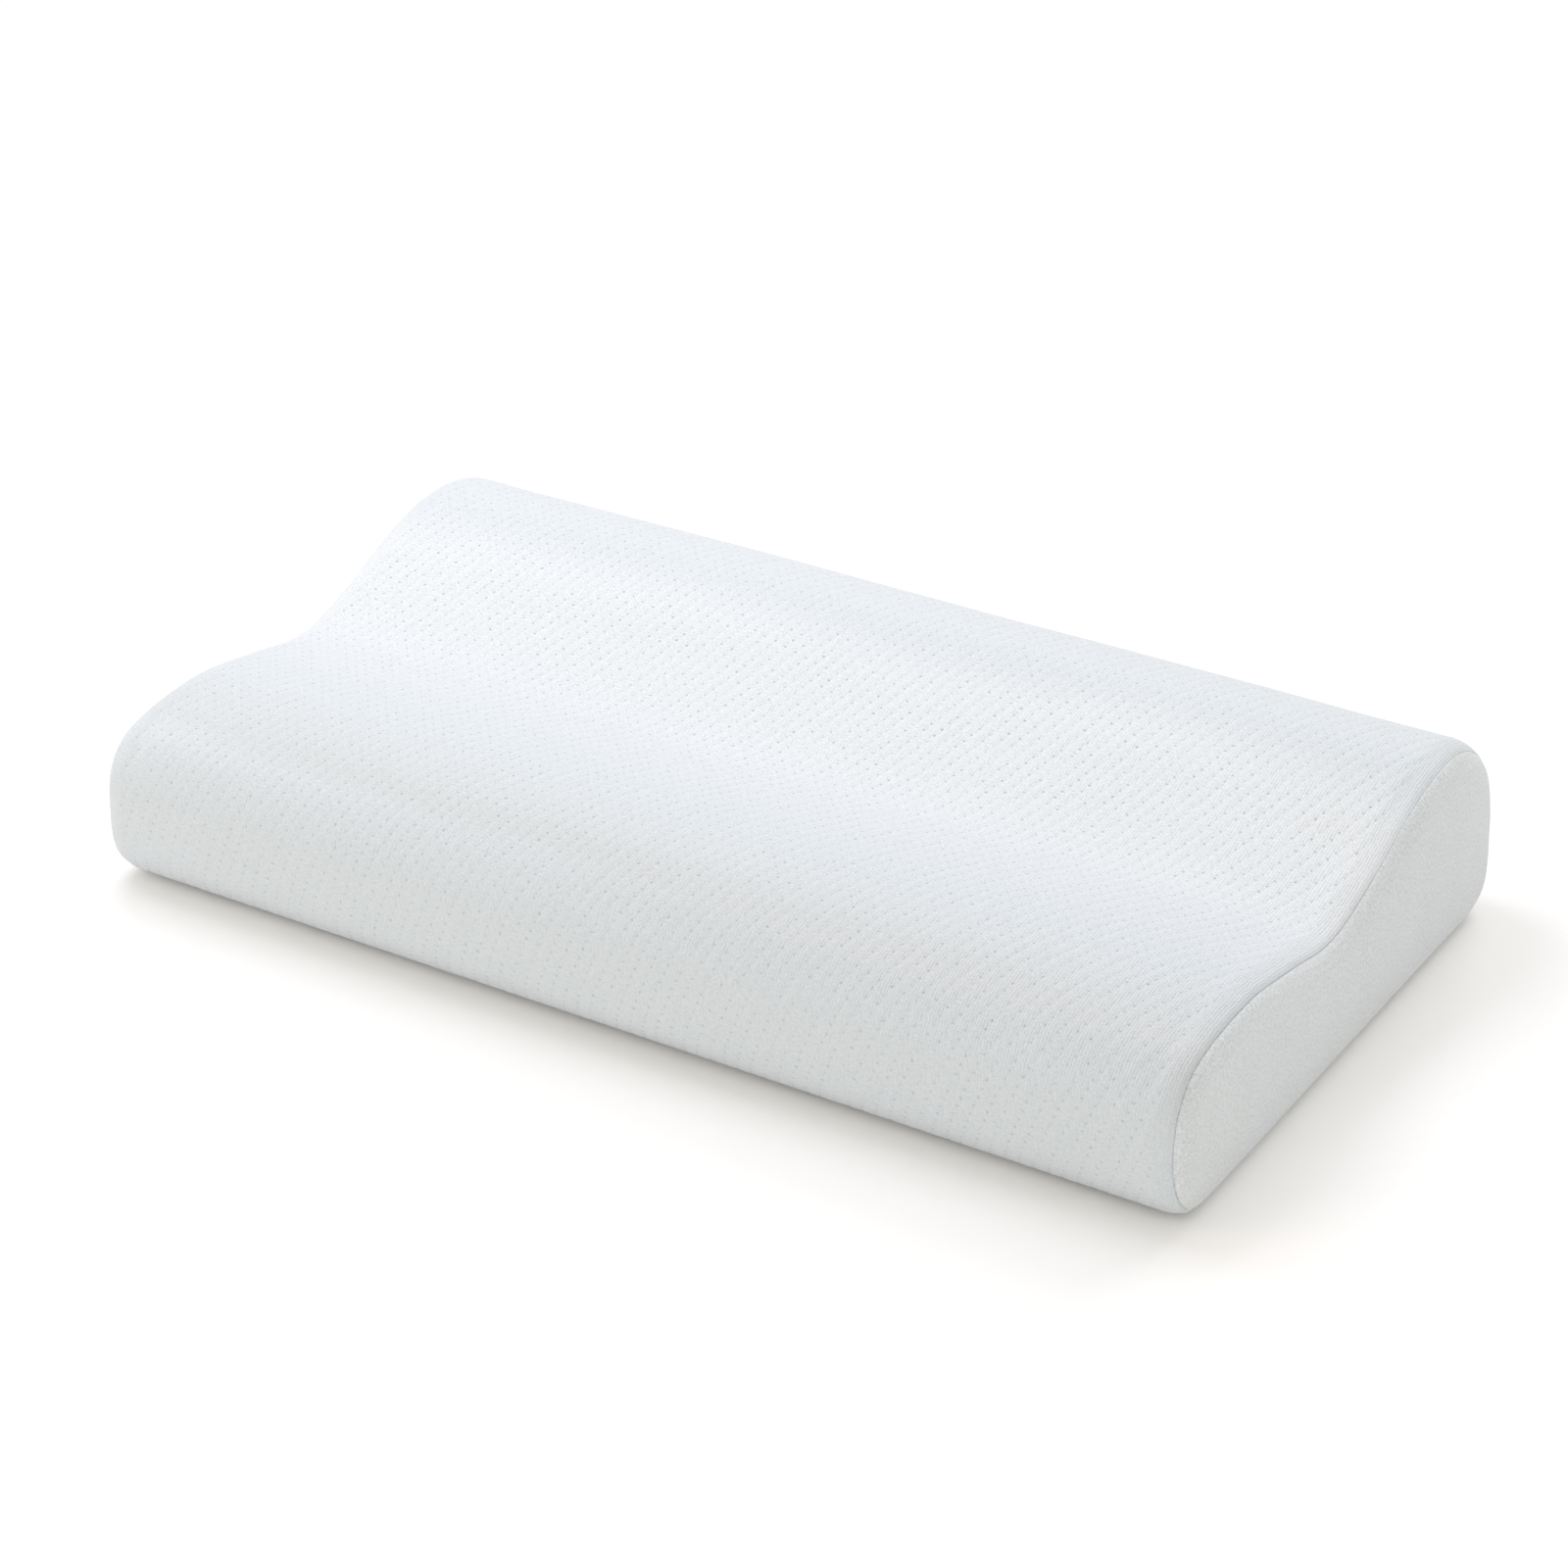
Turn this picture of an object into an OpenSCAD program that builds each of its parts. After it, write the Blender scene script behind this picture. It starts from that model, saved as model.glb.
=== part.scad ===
// Contour bed pillow: a moulded foam core in a thin liner, inside a knitted cover with a zip at the back.
// Millimetres. +X runs along the length, +Y from the low lobe to the high lobe, and +Z is up.
// The origin is the middle of the flat underside.

/* [Pillow] */
// Length from end to end
pillow_length = 600; // [560:5:640]
// Depth from the belly of the low lobe to the back of the high lobe
pillow_depth = 350; // [340:5:370]
// Height of the high lobe, at the back
rear_lobe_height = 110; // [106:1:120]
// Height of the low lobe, at the front
front_lobe_height = 90; // [86:1:96]
// Height of the valley between the lobes
valley_height = 76; // [72:1:80]
// Where the bottom of the valley lies, from the middle of the depth
valley_y = -12; // [-20:1:0]
// Radius of the rounded shoulder at each end
shoulder_radius = 18; // [16:0.5:19]

/* [Layers] */
// Thickness of the knitted cover
cover_thickness = 3; // [2.8:0.1:3.4]
// Thickness of the liner
liner_thickness = 0.8; // [0.5:0.1:1]
// Gap between one layer and the next
layer_gap = 0.3; // [0.2:0.05:0.4]
// Space between the cover's end panel and the liner, where the seam allowance lies
end_gap = 2.7; // [2.4:0.1:4]
// Thickness of the folded seam allowance
allowance_thickness = 1.2; // [0.8:0.1:1.4]
// How far round the shoulder the end seam lies, in degrees
seam_turn = 43; // [36:1:50]

/* [Zip] */
// Length of the zip's tapes
zip_length = 500; // [300:10:520]
// Height of the zip's centre line above the underside
zip_height = 40; // [39:0.5:42]
// Half the width of the slot in the cover that shows the zip
slot_half_width = 4.6; // [4.4:0.1:5.5]
// Radius of each coil
coil_radius = 1.15; // [1:0.05:1.2]
// Distance of each coil's centre from the zip's centre line
coil_offset = 1.85; // [1.8:0.05:2]
// Length of the slider
slider_length = 11; // [9:0.5:13]
// Length of the pull from its hinge to its tip
pull_length = 26; // [20:1:34]
// Distance from the start of one stitch to the start of the next
stitch_pitch = 4; // [3.5:0.5:6]

/* [Care label] */
// How far the label runs along the end panel, past the shoulder
label_reach = 16; // [8:1:20]

/* [Hidden] */

half_length = pillow_length / 2;
half_depth = pillow_depth / 2;
lobe_rise = rear_lobe_height - valley_height;
front_crest_y = -half_depth + 75;
rear_crest_y = half_depth - 72;
// The back is straight and upright where the zip is sewn in
strip_top_z = 54;
strip_bottom_z = 26;

// The section across the pillow, from the front edge of the flat underside, up the front,
// over both lobes, down the back and round to the rear edge of the underside
section_knots = [
    [-half_depth + 37, 0],
    [-half_depth + 17, 4],
    [-half_depth + 3.5, 20],
    [-half_depth, 44],
    [-half_depth + 4.5, front_lobe_height - 23],
    [-half_depth + 23, front_lobe_height - 6],
    [front_crest_y, front_lobe_height],
    [(front_crest_y + valley_y) / 2, (front_lobe_height + valley_height) / 2 + 0.5],
    [valley_y, valley_height],
    [valley_y + 42, valley_height + 0.32 * lobe_rise],
    [valley_y + 80, valley_height + 0.78 * lobe_rise],
    [rear_crest_y, rear_lobe_height],
    [half_depth - 41, rear_lobe_height - 3.5],
    [half_depth - 12, rear_lobe_height - 24],
    [half_depth, strip_top_z],
    [half_depth, strip_bottom_z],
    [half_depth - 8.5, 7.5],
    [half_depth - 29, 0]
];
front_seam_knot = 1;
strip_knot = 14;
last_knot = len(section_knots) - 1;
spline_steps = 5;
base_steps = 6;
shoulder_steps = 4;

// Direction of the section at a knot: along the underside at both ends, straight down on the strip
function knot_direction(i) =
    (i == 0 || i == last_knot) ? [-1, 0]
    : (i == strip_knot || i == strip_knot + 1) ? [0, -1]
    : let (before = section_knots[i] - section_knots[i - 1])
      let (after = section_knots[i + 1] - section_knots[i])
      (before + after) / (norm(before) + norm(after));

// A point on the smooth curve from one knot to the next, for t from 0 to 1
function curve_point(i, t) =
    let (from = section_knots[i])
    let (to = section_knots[i + 1])
    let (span = norm(to - from))
    (2 * t ^ 3 - 3 * t ^ 2 + 1) * from
    + (t ^ 3 - 2 * t ^ 2 + t) * span * knot_direction(i)
    + (3 * t ^ 2 - 2 * t ^ 3) * to
    + (t ^ 3 - t ^ 2) * span * knot_direction(i + 1);

// The points from one knot up to, but not with, the next; the strip is split at the zip's height
function span_points(i) =
    i == strip_knot
    ? [section_knots[i], [half_depth, zip_height]]
    : [for (s = [0 : spline_steps - 1]) curve_point(i, s / spline_steps)];

function underside_point(s) =
    section_knots[last_knot] + (section_knots[0] - section_knots[last_knot]) * s / base_steps;

section = concat(
    [for (i = [0 : last_knot - 1]) each span_points(i)],
    [for (s = [0 : base_steps - 1]) underside_point(s)]
);
section_count = len(section);
front_seam_index = front_seam_knot * spline_steps;
strip_index = strip_knot * spline_steps;
zip_index = strip_index + 1;

// Outward direction of the section at a point
function section_normal(i) =
    let (chord = section[(i + 1) % section_count] - section[(i + section_count - 1) % section_count])
    [-chord.y, chord.x] / norm(chord);
section_normals = [for (i = [0 : section_count - 1]) section_normal(i)];

// Each surface lies some depth below the cover's outside, and ends some distance in from the pillow's end
cover_outside = [0, 0];
cover_inside = [cover_thickness, cover_thickness];
liner_outside = [cover_thickness + layer_gap, cover_thickness + end_gap];
liner_inside = liner_outside + [liner_thickness, liner_thickness];
foam_outside = liner_inside + [layer_gap, layer_gap];
allowance_outside = cover_inside + [0.2, 0.2];
allowance_inside = allowance_outside + [allowance_thickness, allowance_thickness];
allowance_turn = seam_turn + 7;
label_inside = [-0.3, -0.3];
label_outside = [-0.8, -0.8];

// A point on a surface: round the shoulder by turn degrees, then by slide millimetres along the end
function surface_point(surface, i, side, turn, slide = 0) =
    let (radius = shoulder_radius - surface[0])
    let (sink = surface[0] + radius * (1 - cos(turn)) + slide)
    let (flat = section[i] - sink * section_normals[i])
    [side * (half_length - surface[1] - radius + radius * sin(turn)), flat.x, flat.y];

// A station is [side, turn, slide]: one ring of the surface. Stations run towards +X.
function shoulder_stations(side, from, to) =
    [for (s = [0 : shoulder_steps]) [side, from + (to - from) * s / shoulder_steps, 0]];
function wrap_stations(turn) = concat(shoulder_stations(-1, turn, 0), shoulder_stations(1, 0, turn));
function rings(surface, indices, stations) =
    [for (s = stations) [for (i = indices) surface_point(surface, i, s[0], s[1], s[2])]];

whole_section = [for (i = [0 : section_count - 1]) i];
top_indices = [for (i = [front_seam_index : zip_index]) i];
base_indices = concat(
    [for (i = [zip_index : section_count - 1]) i],
    [for (i = [0 : front_seam_index]) i]
);

function flatten(rows) = [for (row = rows) each row];

// Two triangles for each cell of a grid with the given columns, starting at a first point
function grid_faces(rows, columns, first, closed, flipped) =
    [for (r = [0 : rows - 2]) for (c = [0 : columns - (closed ? 1 : 2)])
        let (d = (c + 1) % columns)
        let (a = first + r * columns + c)
        let (b = first + r * columns + d)
        each flipped
            ? [[a, a + columns, b + columns], [a, b + columns, b]]
            : [[a, b, b + columns], [a, b + columns, a + columns]]];

// A flat end closed by triangles that meet at a point every part of the section can be seen from
function cap_centre(ring) = [ring[0].x, valley_y, valley_height / 2];
function cap_faces(columns, first, centre, flipped) =
    [for (c = [0 : columns - 1])
        let (a = first + c)
        let (b = first + (c + 1) % columns)
        flipped ? [b, a, centre] : [a, b, centre]];

// A cloth-like solid between an outer and an inner set of rings. Closed ones go right round the section,
// and capped ones close their last ring with a flat end on each side of the cloth.
module sheet(outer, inner, closed = false, capped = false) {
    rows = len(outer);
    columns = len(outer[0]);
    half = rows * columns;
    last = (rows - 1) * columns;
    pairs = [for (c = [0 : columns - (closed ? 1 : 2)]) [c, (c + 1) % columns]];
    near_wall = [for (p = pairs) each [[p[1], p[0], half + p[0]], [p[1], half + p[0], half + p[1]]]];
    far_wall = [for (p = pairs)
        let (a = last + p[0])
        let (b = last + p[1])
        each [[a, b, half + b], [a, half + b, half + a]]];
    caps = concat(
        cap_faces(columns, last, 2 * half, false),
        cap_faces(columns, half + last, 2 * half + 1, true)
    );
    side_walls = [for (r = [0 : rows - 2])
        let (a = r * columns)
        let (b = a + columns - 1)
        each [
            [a, a + columns, half + a + columns], [a, half + a + columns, half + a],
            [b + columns, b, half + b], [b + columns, half + b, half + b + columns]
        ]];
    polyhedron(
        points = concat(
            flatten(outer),
            flatten(inner),
            capped ? [cap_centre(outer[rows - 1]), cap_centre(inner[rows - 1])] : []
        ),
        faces = concat(
            grid_faces(rows, columns, 0, closed, false),
            grid_faces(rows, columns, half, closed, true),
            near_wall,
            capped ? caps : far_wall,
            closed ? [] : side_walls
        )
    );
}

// One end panel of a layer, from its seam round the shoulder and across the flat end
module end_panel(outside, inside) {
    stations = shoulder_stations(1, seam_turn, 90);
    sheet(
        rings(outside, whole_section, stations),
        rings(inside, whole_section, stations),
        closed = true,
        capped = true
    );
}

module left_end() {
    mirror([1, 0, 0]) children();
}

// Zip parts are placed from the outside of the back, at the zip's centre line
tape_inside_y = -1.7;
tape_outside_y = -1.1;
tape_near_z = 0.75;
tape_far_z = 13.5;
tape_clearance = 0.05;
coil_y = tape_outside_y + coil_radius;
coil_half_length = zip_length / 2 - 8;
stop_length = 3;
stop_width = 2.7;
stop_top_y = 1.4;
stitch_radius = 0.3;
stitch_length = stitch_pitch - 1.2;
stitch_z = 8;
stitch_count = floor((zip_length - 10) / stitch_pitch);

slider_half_width = 4.1;
slider_rest_x = -coil_half_length + slider_length / 2 + 0.3;
upper_plate_y = 1.45;
upper_plate_top = 2.35;
lower_plate_y = -2.65;
lower_plate_top = -1.85;
flange_width = 0.8;
flange_bottom_y = -0.9;
post_half_width = 0.5;
hinge_y = 4.1;
hinge_hole_radius = 1;
crossbar_radius = 0.93;
bridge_half_width = 0.9;
pull_half_width = 3.5;
pull_half_thickness = 0.7;
pull_arm_inner = 1.15;
pull_arm_outer = 2.65;
pull_arm_length = 6.5;
pull_eye_radius = 1.3;

module at_zip(x = 0) {
    translate([x, half_depth, zip_height]) children();
}

// Extrudes an XZ outline from one Y to another
module across(from_y, to_y) {
    translate([0, to_y, 0]) rotate([90, 0, 0]) linear_extrude(to_y - from_y) children();
}

module zip_slot() {
    at_zip() cube([zip_length, 4 * cover_thickness, 2 * slot_half_width], center = true);
}

// The groove that one tape is sewn into, on the side of the centre line that sign gives
module tape_groove(sign) {
    at_zip() mirror([0, 0, sign < 0 ? 1 : 0])
        translate([-zip_length / 2, tape_inside_y - tape_clearance, 0])
            cube([zip_length, tape_outside_y - tape_inside_y + 2 * tape_clearance, tape_far_z + tape_clearance]);
}

module zip_tape(sign) {
    at_zip() mirror([0, 0, sign < 0 ? 1 : 0])
        translate([-zip_length / 2, tape_inside_y, tape_near_z])
            cube([zip_length, tape_outside_y - tape_inside_y, tape_far_z - tape_near_z]);
}

module zip_coil(sign) {
    at_zip(-coil_half_length) translate([0, coil_y, sign * coil_offset])
        rotate([0, 90, 0]) cylinder(h = 2 * coil_half_length, r = coil_radius, $fn = 24);
}

module zip_stitching(sign) {
    first_x = -(stitch_count - 1) * stitch_pitch / 2 - stitch_length / 2;
    for (n = [0 : stitch_count - 1])
        at_zip(first_x + n * stitch_pitch) translate([0, stitch_radius + 0.02, sign * stitch_z])
            rotate([0, 90, 0]) cylinder(h = stitch_length, r = stitch_radius, $fn = 16);
}

module foam_core() {
    stations = wrap_stations(90);
    shell = rings(foam_outside, whole_section, stations);
    rows = len(shell);
    last = (rows - 1) * section_count;
    color("#f4efe0") polyhedron(
        points = concat(flatten(shell), [cap_centre(shell[0]), cap_centre(shell[rows - 1])]),
        faces = concat(
            grid_faces(rows, section_count, 0, true, false),
            cap_faces(section_count, 0, rows * section_count, true),
            cap_faces(section_count, last, rows * section_count + 1, false)
        )
    );
}

module liner_sleeve() {
    stations = wrap_stations(seam_turn);
    color("#eceef0") sheet(
        rings(liner_outside, whole_section, stations),
        rings(liner_inside, whole_section, stations),
        closed = true
    );
}

module liner_end_right() {
    color("#e6e9ec") end_panel(liner_outside, liner_inside);
}

module liner_end_left() {
    left_end() liner_end_right();
}

module cover_top() {
    stations = wrap_stations(seam_turn);
    color("#eef1f5") difference() {
        sheet(
            rings(cover_outside, top_indices, stations),
            rings(cover_inside, top_indices, stations)
        );
        zip_slot();
        tape_groove(1);
    }
}

module cover_base() {
    stations = wrap_stations(seam_turn);
    color("#dfe2e4") difference() {
        sheet(
            rings(cover_outside, base_indices, stations),
            rings(cover_inside, base_indices, stations)
        );
        zip_slot();
        tape_groove(-1);
    }
}

module cover_end_right() {
    color("#e2e5e6") end_panel(cover_outside, cover_inside);
}

module cover_end_left() {
    left_end() cover_end_right();
}

module seam_allowance_right() {
    stations = shoulder_stations(1, allowance_turn, 90);
    color("#d9dcdf") sheet(
        rings(allowance_outside, whole_section, stations),
        rings(allowance_inside, whole_section, stations),
        closed = true
    );
}

module seam_allowance_left() {
    left_end() seam_allowance_right();
}

module zip_tape_upper() {
    color("#f2f3f4") zip_tape(1);
}

module zip_tape_lower() {
    color("#f2f3f4") zip_tape(-1);
}

module zip_coil_upper() {
    color("#fafafa") zip_coil(1);
}

module zip_coil_lower() {
    color("#fafafa") zip_coil(-1);
}

module zip_top_stops() {
    color("#f0f0ee") for (sign = [-1, 1])
        at_zip(-coil_half_length - stop_length)
            translate([0, tape_outside_y, sign * coil_offset - stop_width / 2])
                cube([stop_length, stop_top_y - tape_outside_y, stop_width]);
}

module zip_bottom_stop() {
    color("#f0f0ee") at_zip(coil_half_length)
        translate([0, tape_outside_y, -coil_offset - stop_width / 2])
            cube([stop_length, stop_top_y - tape_outside_y, 2 * coil_offset + stop_width]);
}

module zip_stitching_upper() {
    color("#ffffff") zip_stitching(1);
}

module zip_stitching_lower() {
    color("#ffffff") zip_stitching(-1);
}

// Outline of the slider's plates: straight sides and round ends
module slider_outline() {
    end_x = slider_length / 2 - slider_half_width;
    square([2 * end_x, 2 * slider_half_width], center = true);
    for (x = [-end_x, end_x])
        translate([x, 0]) circle(r = slider_half_width, $fn = 48);
}

// The arch that holds the pull's crossbar, seen from the side
module bridge_outline() {
    difference() {
        union() {
            polygon([[-4, upper_plate_top - 0.1], [4, upper_plate_top - 0.1], [1.2, 5.5], [-1.2, 5.5]]);
            translate([0, hinge_y]) circle(r = hinge_hole_radius + 0.75, $fn = 40);
        }
        translate([0, hinge_y]) circle(r = hinge_hole_radius, $fn = 32);
    }
}

module zip_slider() {
    color("#e9eaeb") at_zip(slider_rest_x) {
        across(upper_plate_y, upper_plate_top) slider_outline();
        across(lower_plate_y, lower_plate_top) slider_outline();
        for (sign = [-1, 1])
            translate([0, (flange_bottom_y + upper_plate_top) / 2, sign * (slider_half_width - flange_width / 2)])
                cube([6, upper_plate_top - flange_bottom_y, flange_width], center = true);
        translate([-slider_length / 2 + 1, lower_plate_y, -post_half_width])
            cube([2.5, upper_plate_top - lower_plate_y, 2 * post_half_width]);
        translate([0, 0, -bridge_half_width]) linear_extrude(2 * bridge_half_width) bridge_outline();
    }
}

// One arm of the pull from the side, with its round eye on the hinge
module pull_arm_outline() {
    circle(r = pull_eye_radius, $fn = 32);
    translate([0, -pull_half_thickness]) square([pull_arm_length, 2 * pull_half_thickness]);
}

module pull_tab_outline() {
    translate([pull_arm_length - 0.5, -pull_half_width])
        square([pull_length - pull_half_width - pull_arm_length + 0.5, 2 * pull_half_width]);
    translate([pull_length - pull_half_width, 0]) circle(r = pull_half_width, $fn = 48);
}

module zip_pull() {
    color("#f1f2f2") at_zip(slider_rest_x) translate([0, hinge_y, 0]) {
        translate([0, 0, -pull_arm_outer])
            cylinder(h = 2 * pull_arm_outer, r = crossbar_radius, $fn = 32);
        for (z = [pull_arm_inner, -pull_arm_outer])
            translate([0, 0, z]) linear_extrude(pull_arm_outer - pull_arm_inner) pull_arm_outline();
        across(-pull_half_thickness, pull_half_thickness) pull_tab_outline();
        for (x = [pull_length - 9 : 2.5 : pull_length - 3])
            translate([x, pull_half_thickness, 0]) cube([0.8, 0.6, 4.4], center = true);
    }
}

module care_label() {
    indices = [strip_index, strip_index + 1, strip_index + 2];
    stations = concat(
        shoulder_stations(1, seam_turn + 1, 90),
        [[1, 90, label_reach / 2], [1, 90, label_reach]]
    );
    color("#ffffff") left_end() sheet(
        rings(label_outside, indices, stations),
        rings(label_inside, indices, stations)
    );
}

foam_core();
liner_sleeve();
liner_end_left();
liner_end_right();
cover_top();
cover_base();
cover_end_left();
cover_end_right();
seam_allowance_left();
seam_allowance_right();
zip_tape_upper();
zip_tape_lower();
zip_coil_upper();
zip_coil_lower();
zip_top_stops();
zip_bottom_stop();
zip_stitching_upper();
zip_stitching_lower();
zip_slider();
zip_pull();
care_label();
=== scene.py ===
"""The looks of a contour bed pillow: a zipped, knitted cover drawn over a two-lobed foam core.

Lengths inside the classes are in millimetres; each mesh is turned to metres as it is made.
"""
import logging
import math
from collections.abc import Callable, Sequence
from dataclasses import dataclass, field
from enum import Enum

import bmesh
import bpy
import numpy as np
from mathutils import Matrix, Vector
from mathutils.bvhtree import BVHTree
from mathutils.kdtree import KDTree


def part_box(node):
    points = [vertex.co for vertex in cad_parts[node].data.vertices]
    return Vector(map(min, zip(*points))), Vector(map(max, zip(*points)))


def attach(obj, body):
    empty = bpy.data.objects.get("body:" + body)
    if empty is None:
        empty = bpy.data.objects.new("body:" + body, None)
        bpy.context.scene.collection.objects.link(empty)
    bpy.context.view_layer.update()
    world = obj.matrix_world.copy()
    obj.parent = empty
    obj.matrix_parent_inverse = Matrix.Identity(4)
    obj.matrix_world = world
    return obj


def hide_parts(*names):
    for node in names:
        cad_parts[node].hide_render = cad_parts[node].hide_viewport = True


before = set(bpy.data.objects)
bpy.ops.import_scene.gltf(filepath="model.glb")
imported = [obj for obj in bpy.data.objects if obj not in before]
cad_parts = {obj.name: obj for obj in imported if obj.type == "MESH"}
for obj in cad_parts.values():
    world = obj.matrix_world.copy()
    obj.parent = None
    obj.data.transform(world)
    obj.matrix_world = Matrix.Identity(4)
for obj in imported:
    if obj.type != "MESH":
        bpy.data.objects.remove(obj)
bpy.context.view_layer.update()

MM = 0.001
# The zip's centre line above the floor, and each row of stitches from it, in millimetres
ZIP_HEIGHT = 40.0
STITCH_LINE = 8.0
LOG = logging.getLogger("pillow")

Array = np.ndarray
BMesh = bmesh.types.BMesh
Mesh = bpy.types.Mesh
Object = bpy.types.Object
Socket = bpy.types.NodeSocket


class Side(Enum):
    """Which end of the pillow a piece belongs to."""

    LEFT = -1
    RIGHT = 1


class Body(Enum):
    """The rigid bodies that pieces ride on."""

    PILLOW = "pillow"
    SLIDER = "slider"
    PULL = "pull"


# ---------------------------------------------------------------- small helpers


def linear(colour: str) -> tuple[float, float, float, float]:
    """Turns an sRGB hex colour into the linear values that shaders take.

    Args:
        colour: Six hex digits after a hash sign.

    Returns:
        Red, green, blue and alpha.
    """
    parts = [int(colour[k : k + 2], 16) / 255 for k in (1, 3, 5)]
    lit = [p / 12.92 if p <= 0.04045 else ((p + 0.055) / 1.055) ** 2.4 for p in parts]
    return (*lit, 1.0)


def smoothstep(value: Array, low: float, high: float) -> Array:
    """Rises smoothly from 0 at low to 1 at high."""
    t = np.clip((value - low) / (high - low), 0, 1)
    return t * t * (3 - 2 * t)


def spaced(length: float, edge: float, fine: float, coarse: float) -> Array:
    """Places points from 0 to a length, closer together near both ends.

    Args:
        length: The whole length.
        edge: How far the close spacing reaches from each end.
        fine: The spacing near the ends.
        coarse: The spacing between them.

    Returns:
        The positions in rising order.
    """
    near = np.linspace(0, edge, max(2, round(edge / fine) + 1))
    middle_count = max(2, round((length - 2 * edge) / coarse) + 1)
    middle = np.linspace(edge, length - edge, middle_count)
    return np.concatenate([near[:-1], middle, (length - near[::-1])[1:]])


def blurred(values: Array, reach: int, axis: int) -> Array:
    """Averages a grid of values along one axis, twice, with its ends held.

    Args:
        values: The grid.
        reach: How many neighbours each way take part.
        axis: The axis to average along.

    Returns:
        The smoothed grid.
    """
    if reach < 1:
        return values
    kernel = np.ones(2 * reach + 1) / (2 * reach + 1)
    pads = [(reach, reach) if k == axis else (0, 0) for k in range(values.ndim)]
    for _ in range(2):
        wide = np.pad(values, pads, mode="edge")
        values = np.apply_along_axis(np.convolve, axis, wide, kernel, mode="valid")
    return values


def new_object(name: str, mesh: Mesh) -> Object:
    """Puts a mesh into the scene as an object at the origin."""
    made = bpy.data.objects.new(name, mesh)
    bpy.context.scene.collection.objects.link(made)
    return made


def mesh_from(bm: BMesh, name: str) -> Object:
    """Turns an edited mesh into a finished object, shaded smooth, and frees the edited one.

    Args:
        bm: The edited mesh, in metres.
        name: The piece's name.

    Returns:
        The object.
    """
    for face in bm.faces:
        face.smooth = True
    mesh = bpy.data.meshes.new(name)
    bm.to_mesh(mesh)
    bm.free()
    return new_object(name, mesh)


def points_of(mesh: Mesh) -> Array:
    """Reads a mesh's points as rows of x, y and z."""
    flat = np.empty(len(mesh.vertices) * 3)
    mesh.vertices.foreach_get("co", flat)
    return flat.reshape(-1, 3)


def box_mm(node: str) -> tuple[Array, Array]:
    """Gives the lowest and the highest corner of a CAD node's box, in millimetres."""
    low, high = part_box(node)
    return np.array(low) / MM, np.array(high) / MM


def rounded(
    bm: BMesh, edges: Sequence, reach: float, segments: int, clamped: bool = False
) -> None:
    """Rounds edges.

    Args:
        bm: The edited mesh.
        edges: The edges to round.
        reach: How far the round reaches from each edge.
        segments: How many flats make up the round.
        clamped: Whether rounds that would overlap are made smaller.
    """
    bmesh.ops.bevel(
        bm,
        geom=edges,
        offset=reach,
        offset_type="OFFSET",
        segments=segments,
        profile=0.5,
        affect="EDGES",
        material=-1,
        clamp_overlap=clamped,
    )


def turned_out(bm: BMesh) -> None:
    """Merges doubled points and turns every face outwards."""
    bmesh.ops.remove_doubles(bm, verts=bm.verts[:], dist=1e-6)
    bmesh.ops.recalc_face_normals(bm, faces=bm.faces[:])


def repeated(bm: BMesh, count: int, step: float) -> None:
    """Repeats everything in a mesh along X, doubling the run each time.

    Args:
        bm: The edited mesh.
        count: How many copies there are to be in the end, with the first.
        step: The distance from one copy to the next.
    """
    made = 1
    single = len(bm.verts)
    while made < count:
        extra = min(made, count - made)
        bm.verts.ensure_lookup_table()
        verts = bm.verts[: extra * single]
        chosen = set(verts)
        faces = [face for face in bm.faces if all(vert in chosen for vert in face.verts)]
        copied = bmesh.ops.duplicate(bm, geom=faces)["geom"]
        moved = [item for item in copied if isinstance(item, bmesh.types.BMVert)]
        bmesh.ops.translate(bm, verts=moved, vec=(made * step, 0, 0))
        made += extra


def grid_object(
    name: str, places: Array, cloth: Array | None = None, weights: Array | None = None
) -> Object:
    """Makes a panel from a flat grid whose points are then laid where the cloth lies.

    Args:
        name: The piece's name.
        places: Rows by columns by 3, in millimetres.
        cloth: Rows by columns by 2, each point's place on the flat cloth in millimetres.
        weights: Rows by columns, how strongly the knit's pattern shows.

    Returns:
        The object. Its face normals follow the grid's rows and columns.
    """
    rows, columns = places.shape[:2]
    bm = bmesh.new()
    bmesh.ops.create_grid(bm, x_segments=columns - 1, y_segments=rows - 1, size=0.5)
    made = mesh_from(bm, name)
    mesh = made.data
    flat = points_of(mesh)
    column = np.rint((flat[:, 0] + 0.5) * (columns - 1)).astype(int)
    row = np.rint((flat[:, 1] + 0.5) * (rows - 1)).astype(int)
    mesh.vertices.foreach_set("co", (places[row, column] * MM).ravel())
    if cloth is not None:
        corner = np.empty(len(mesh.loops), np.int32)
        mesh.loops.foreach_get("vertex_index", corner)
        layer = mesh.uv_layers.new(name="cloth")
        layer.data.foreach_set("uv", cloth[row, column][corner].ravel())
    if weights is not None:
        layer = mesh.attributes.new("dimples", "FLOAT", "POINT")
        layer.data.foreach_set("value", weights[row, column].ravel())
    mesh.update()
    return made


# ---------------------------------------------------------------- finishes


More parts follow.
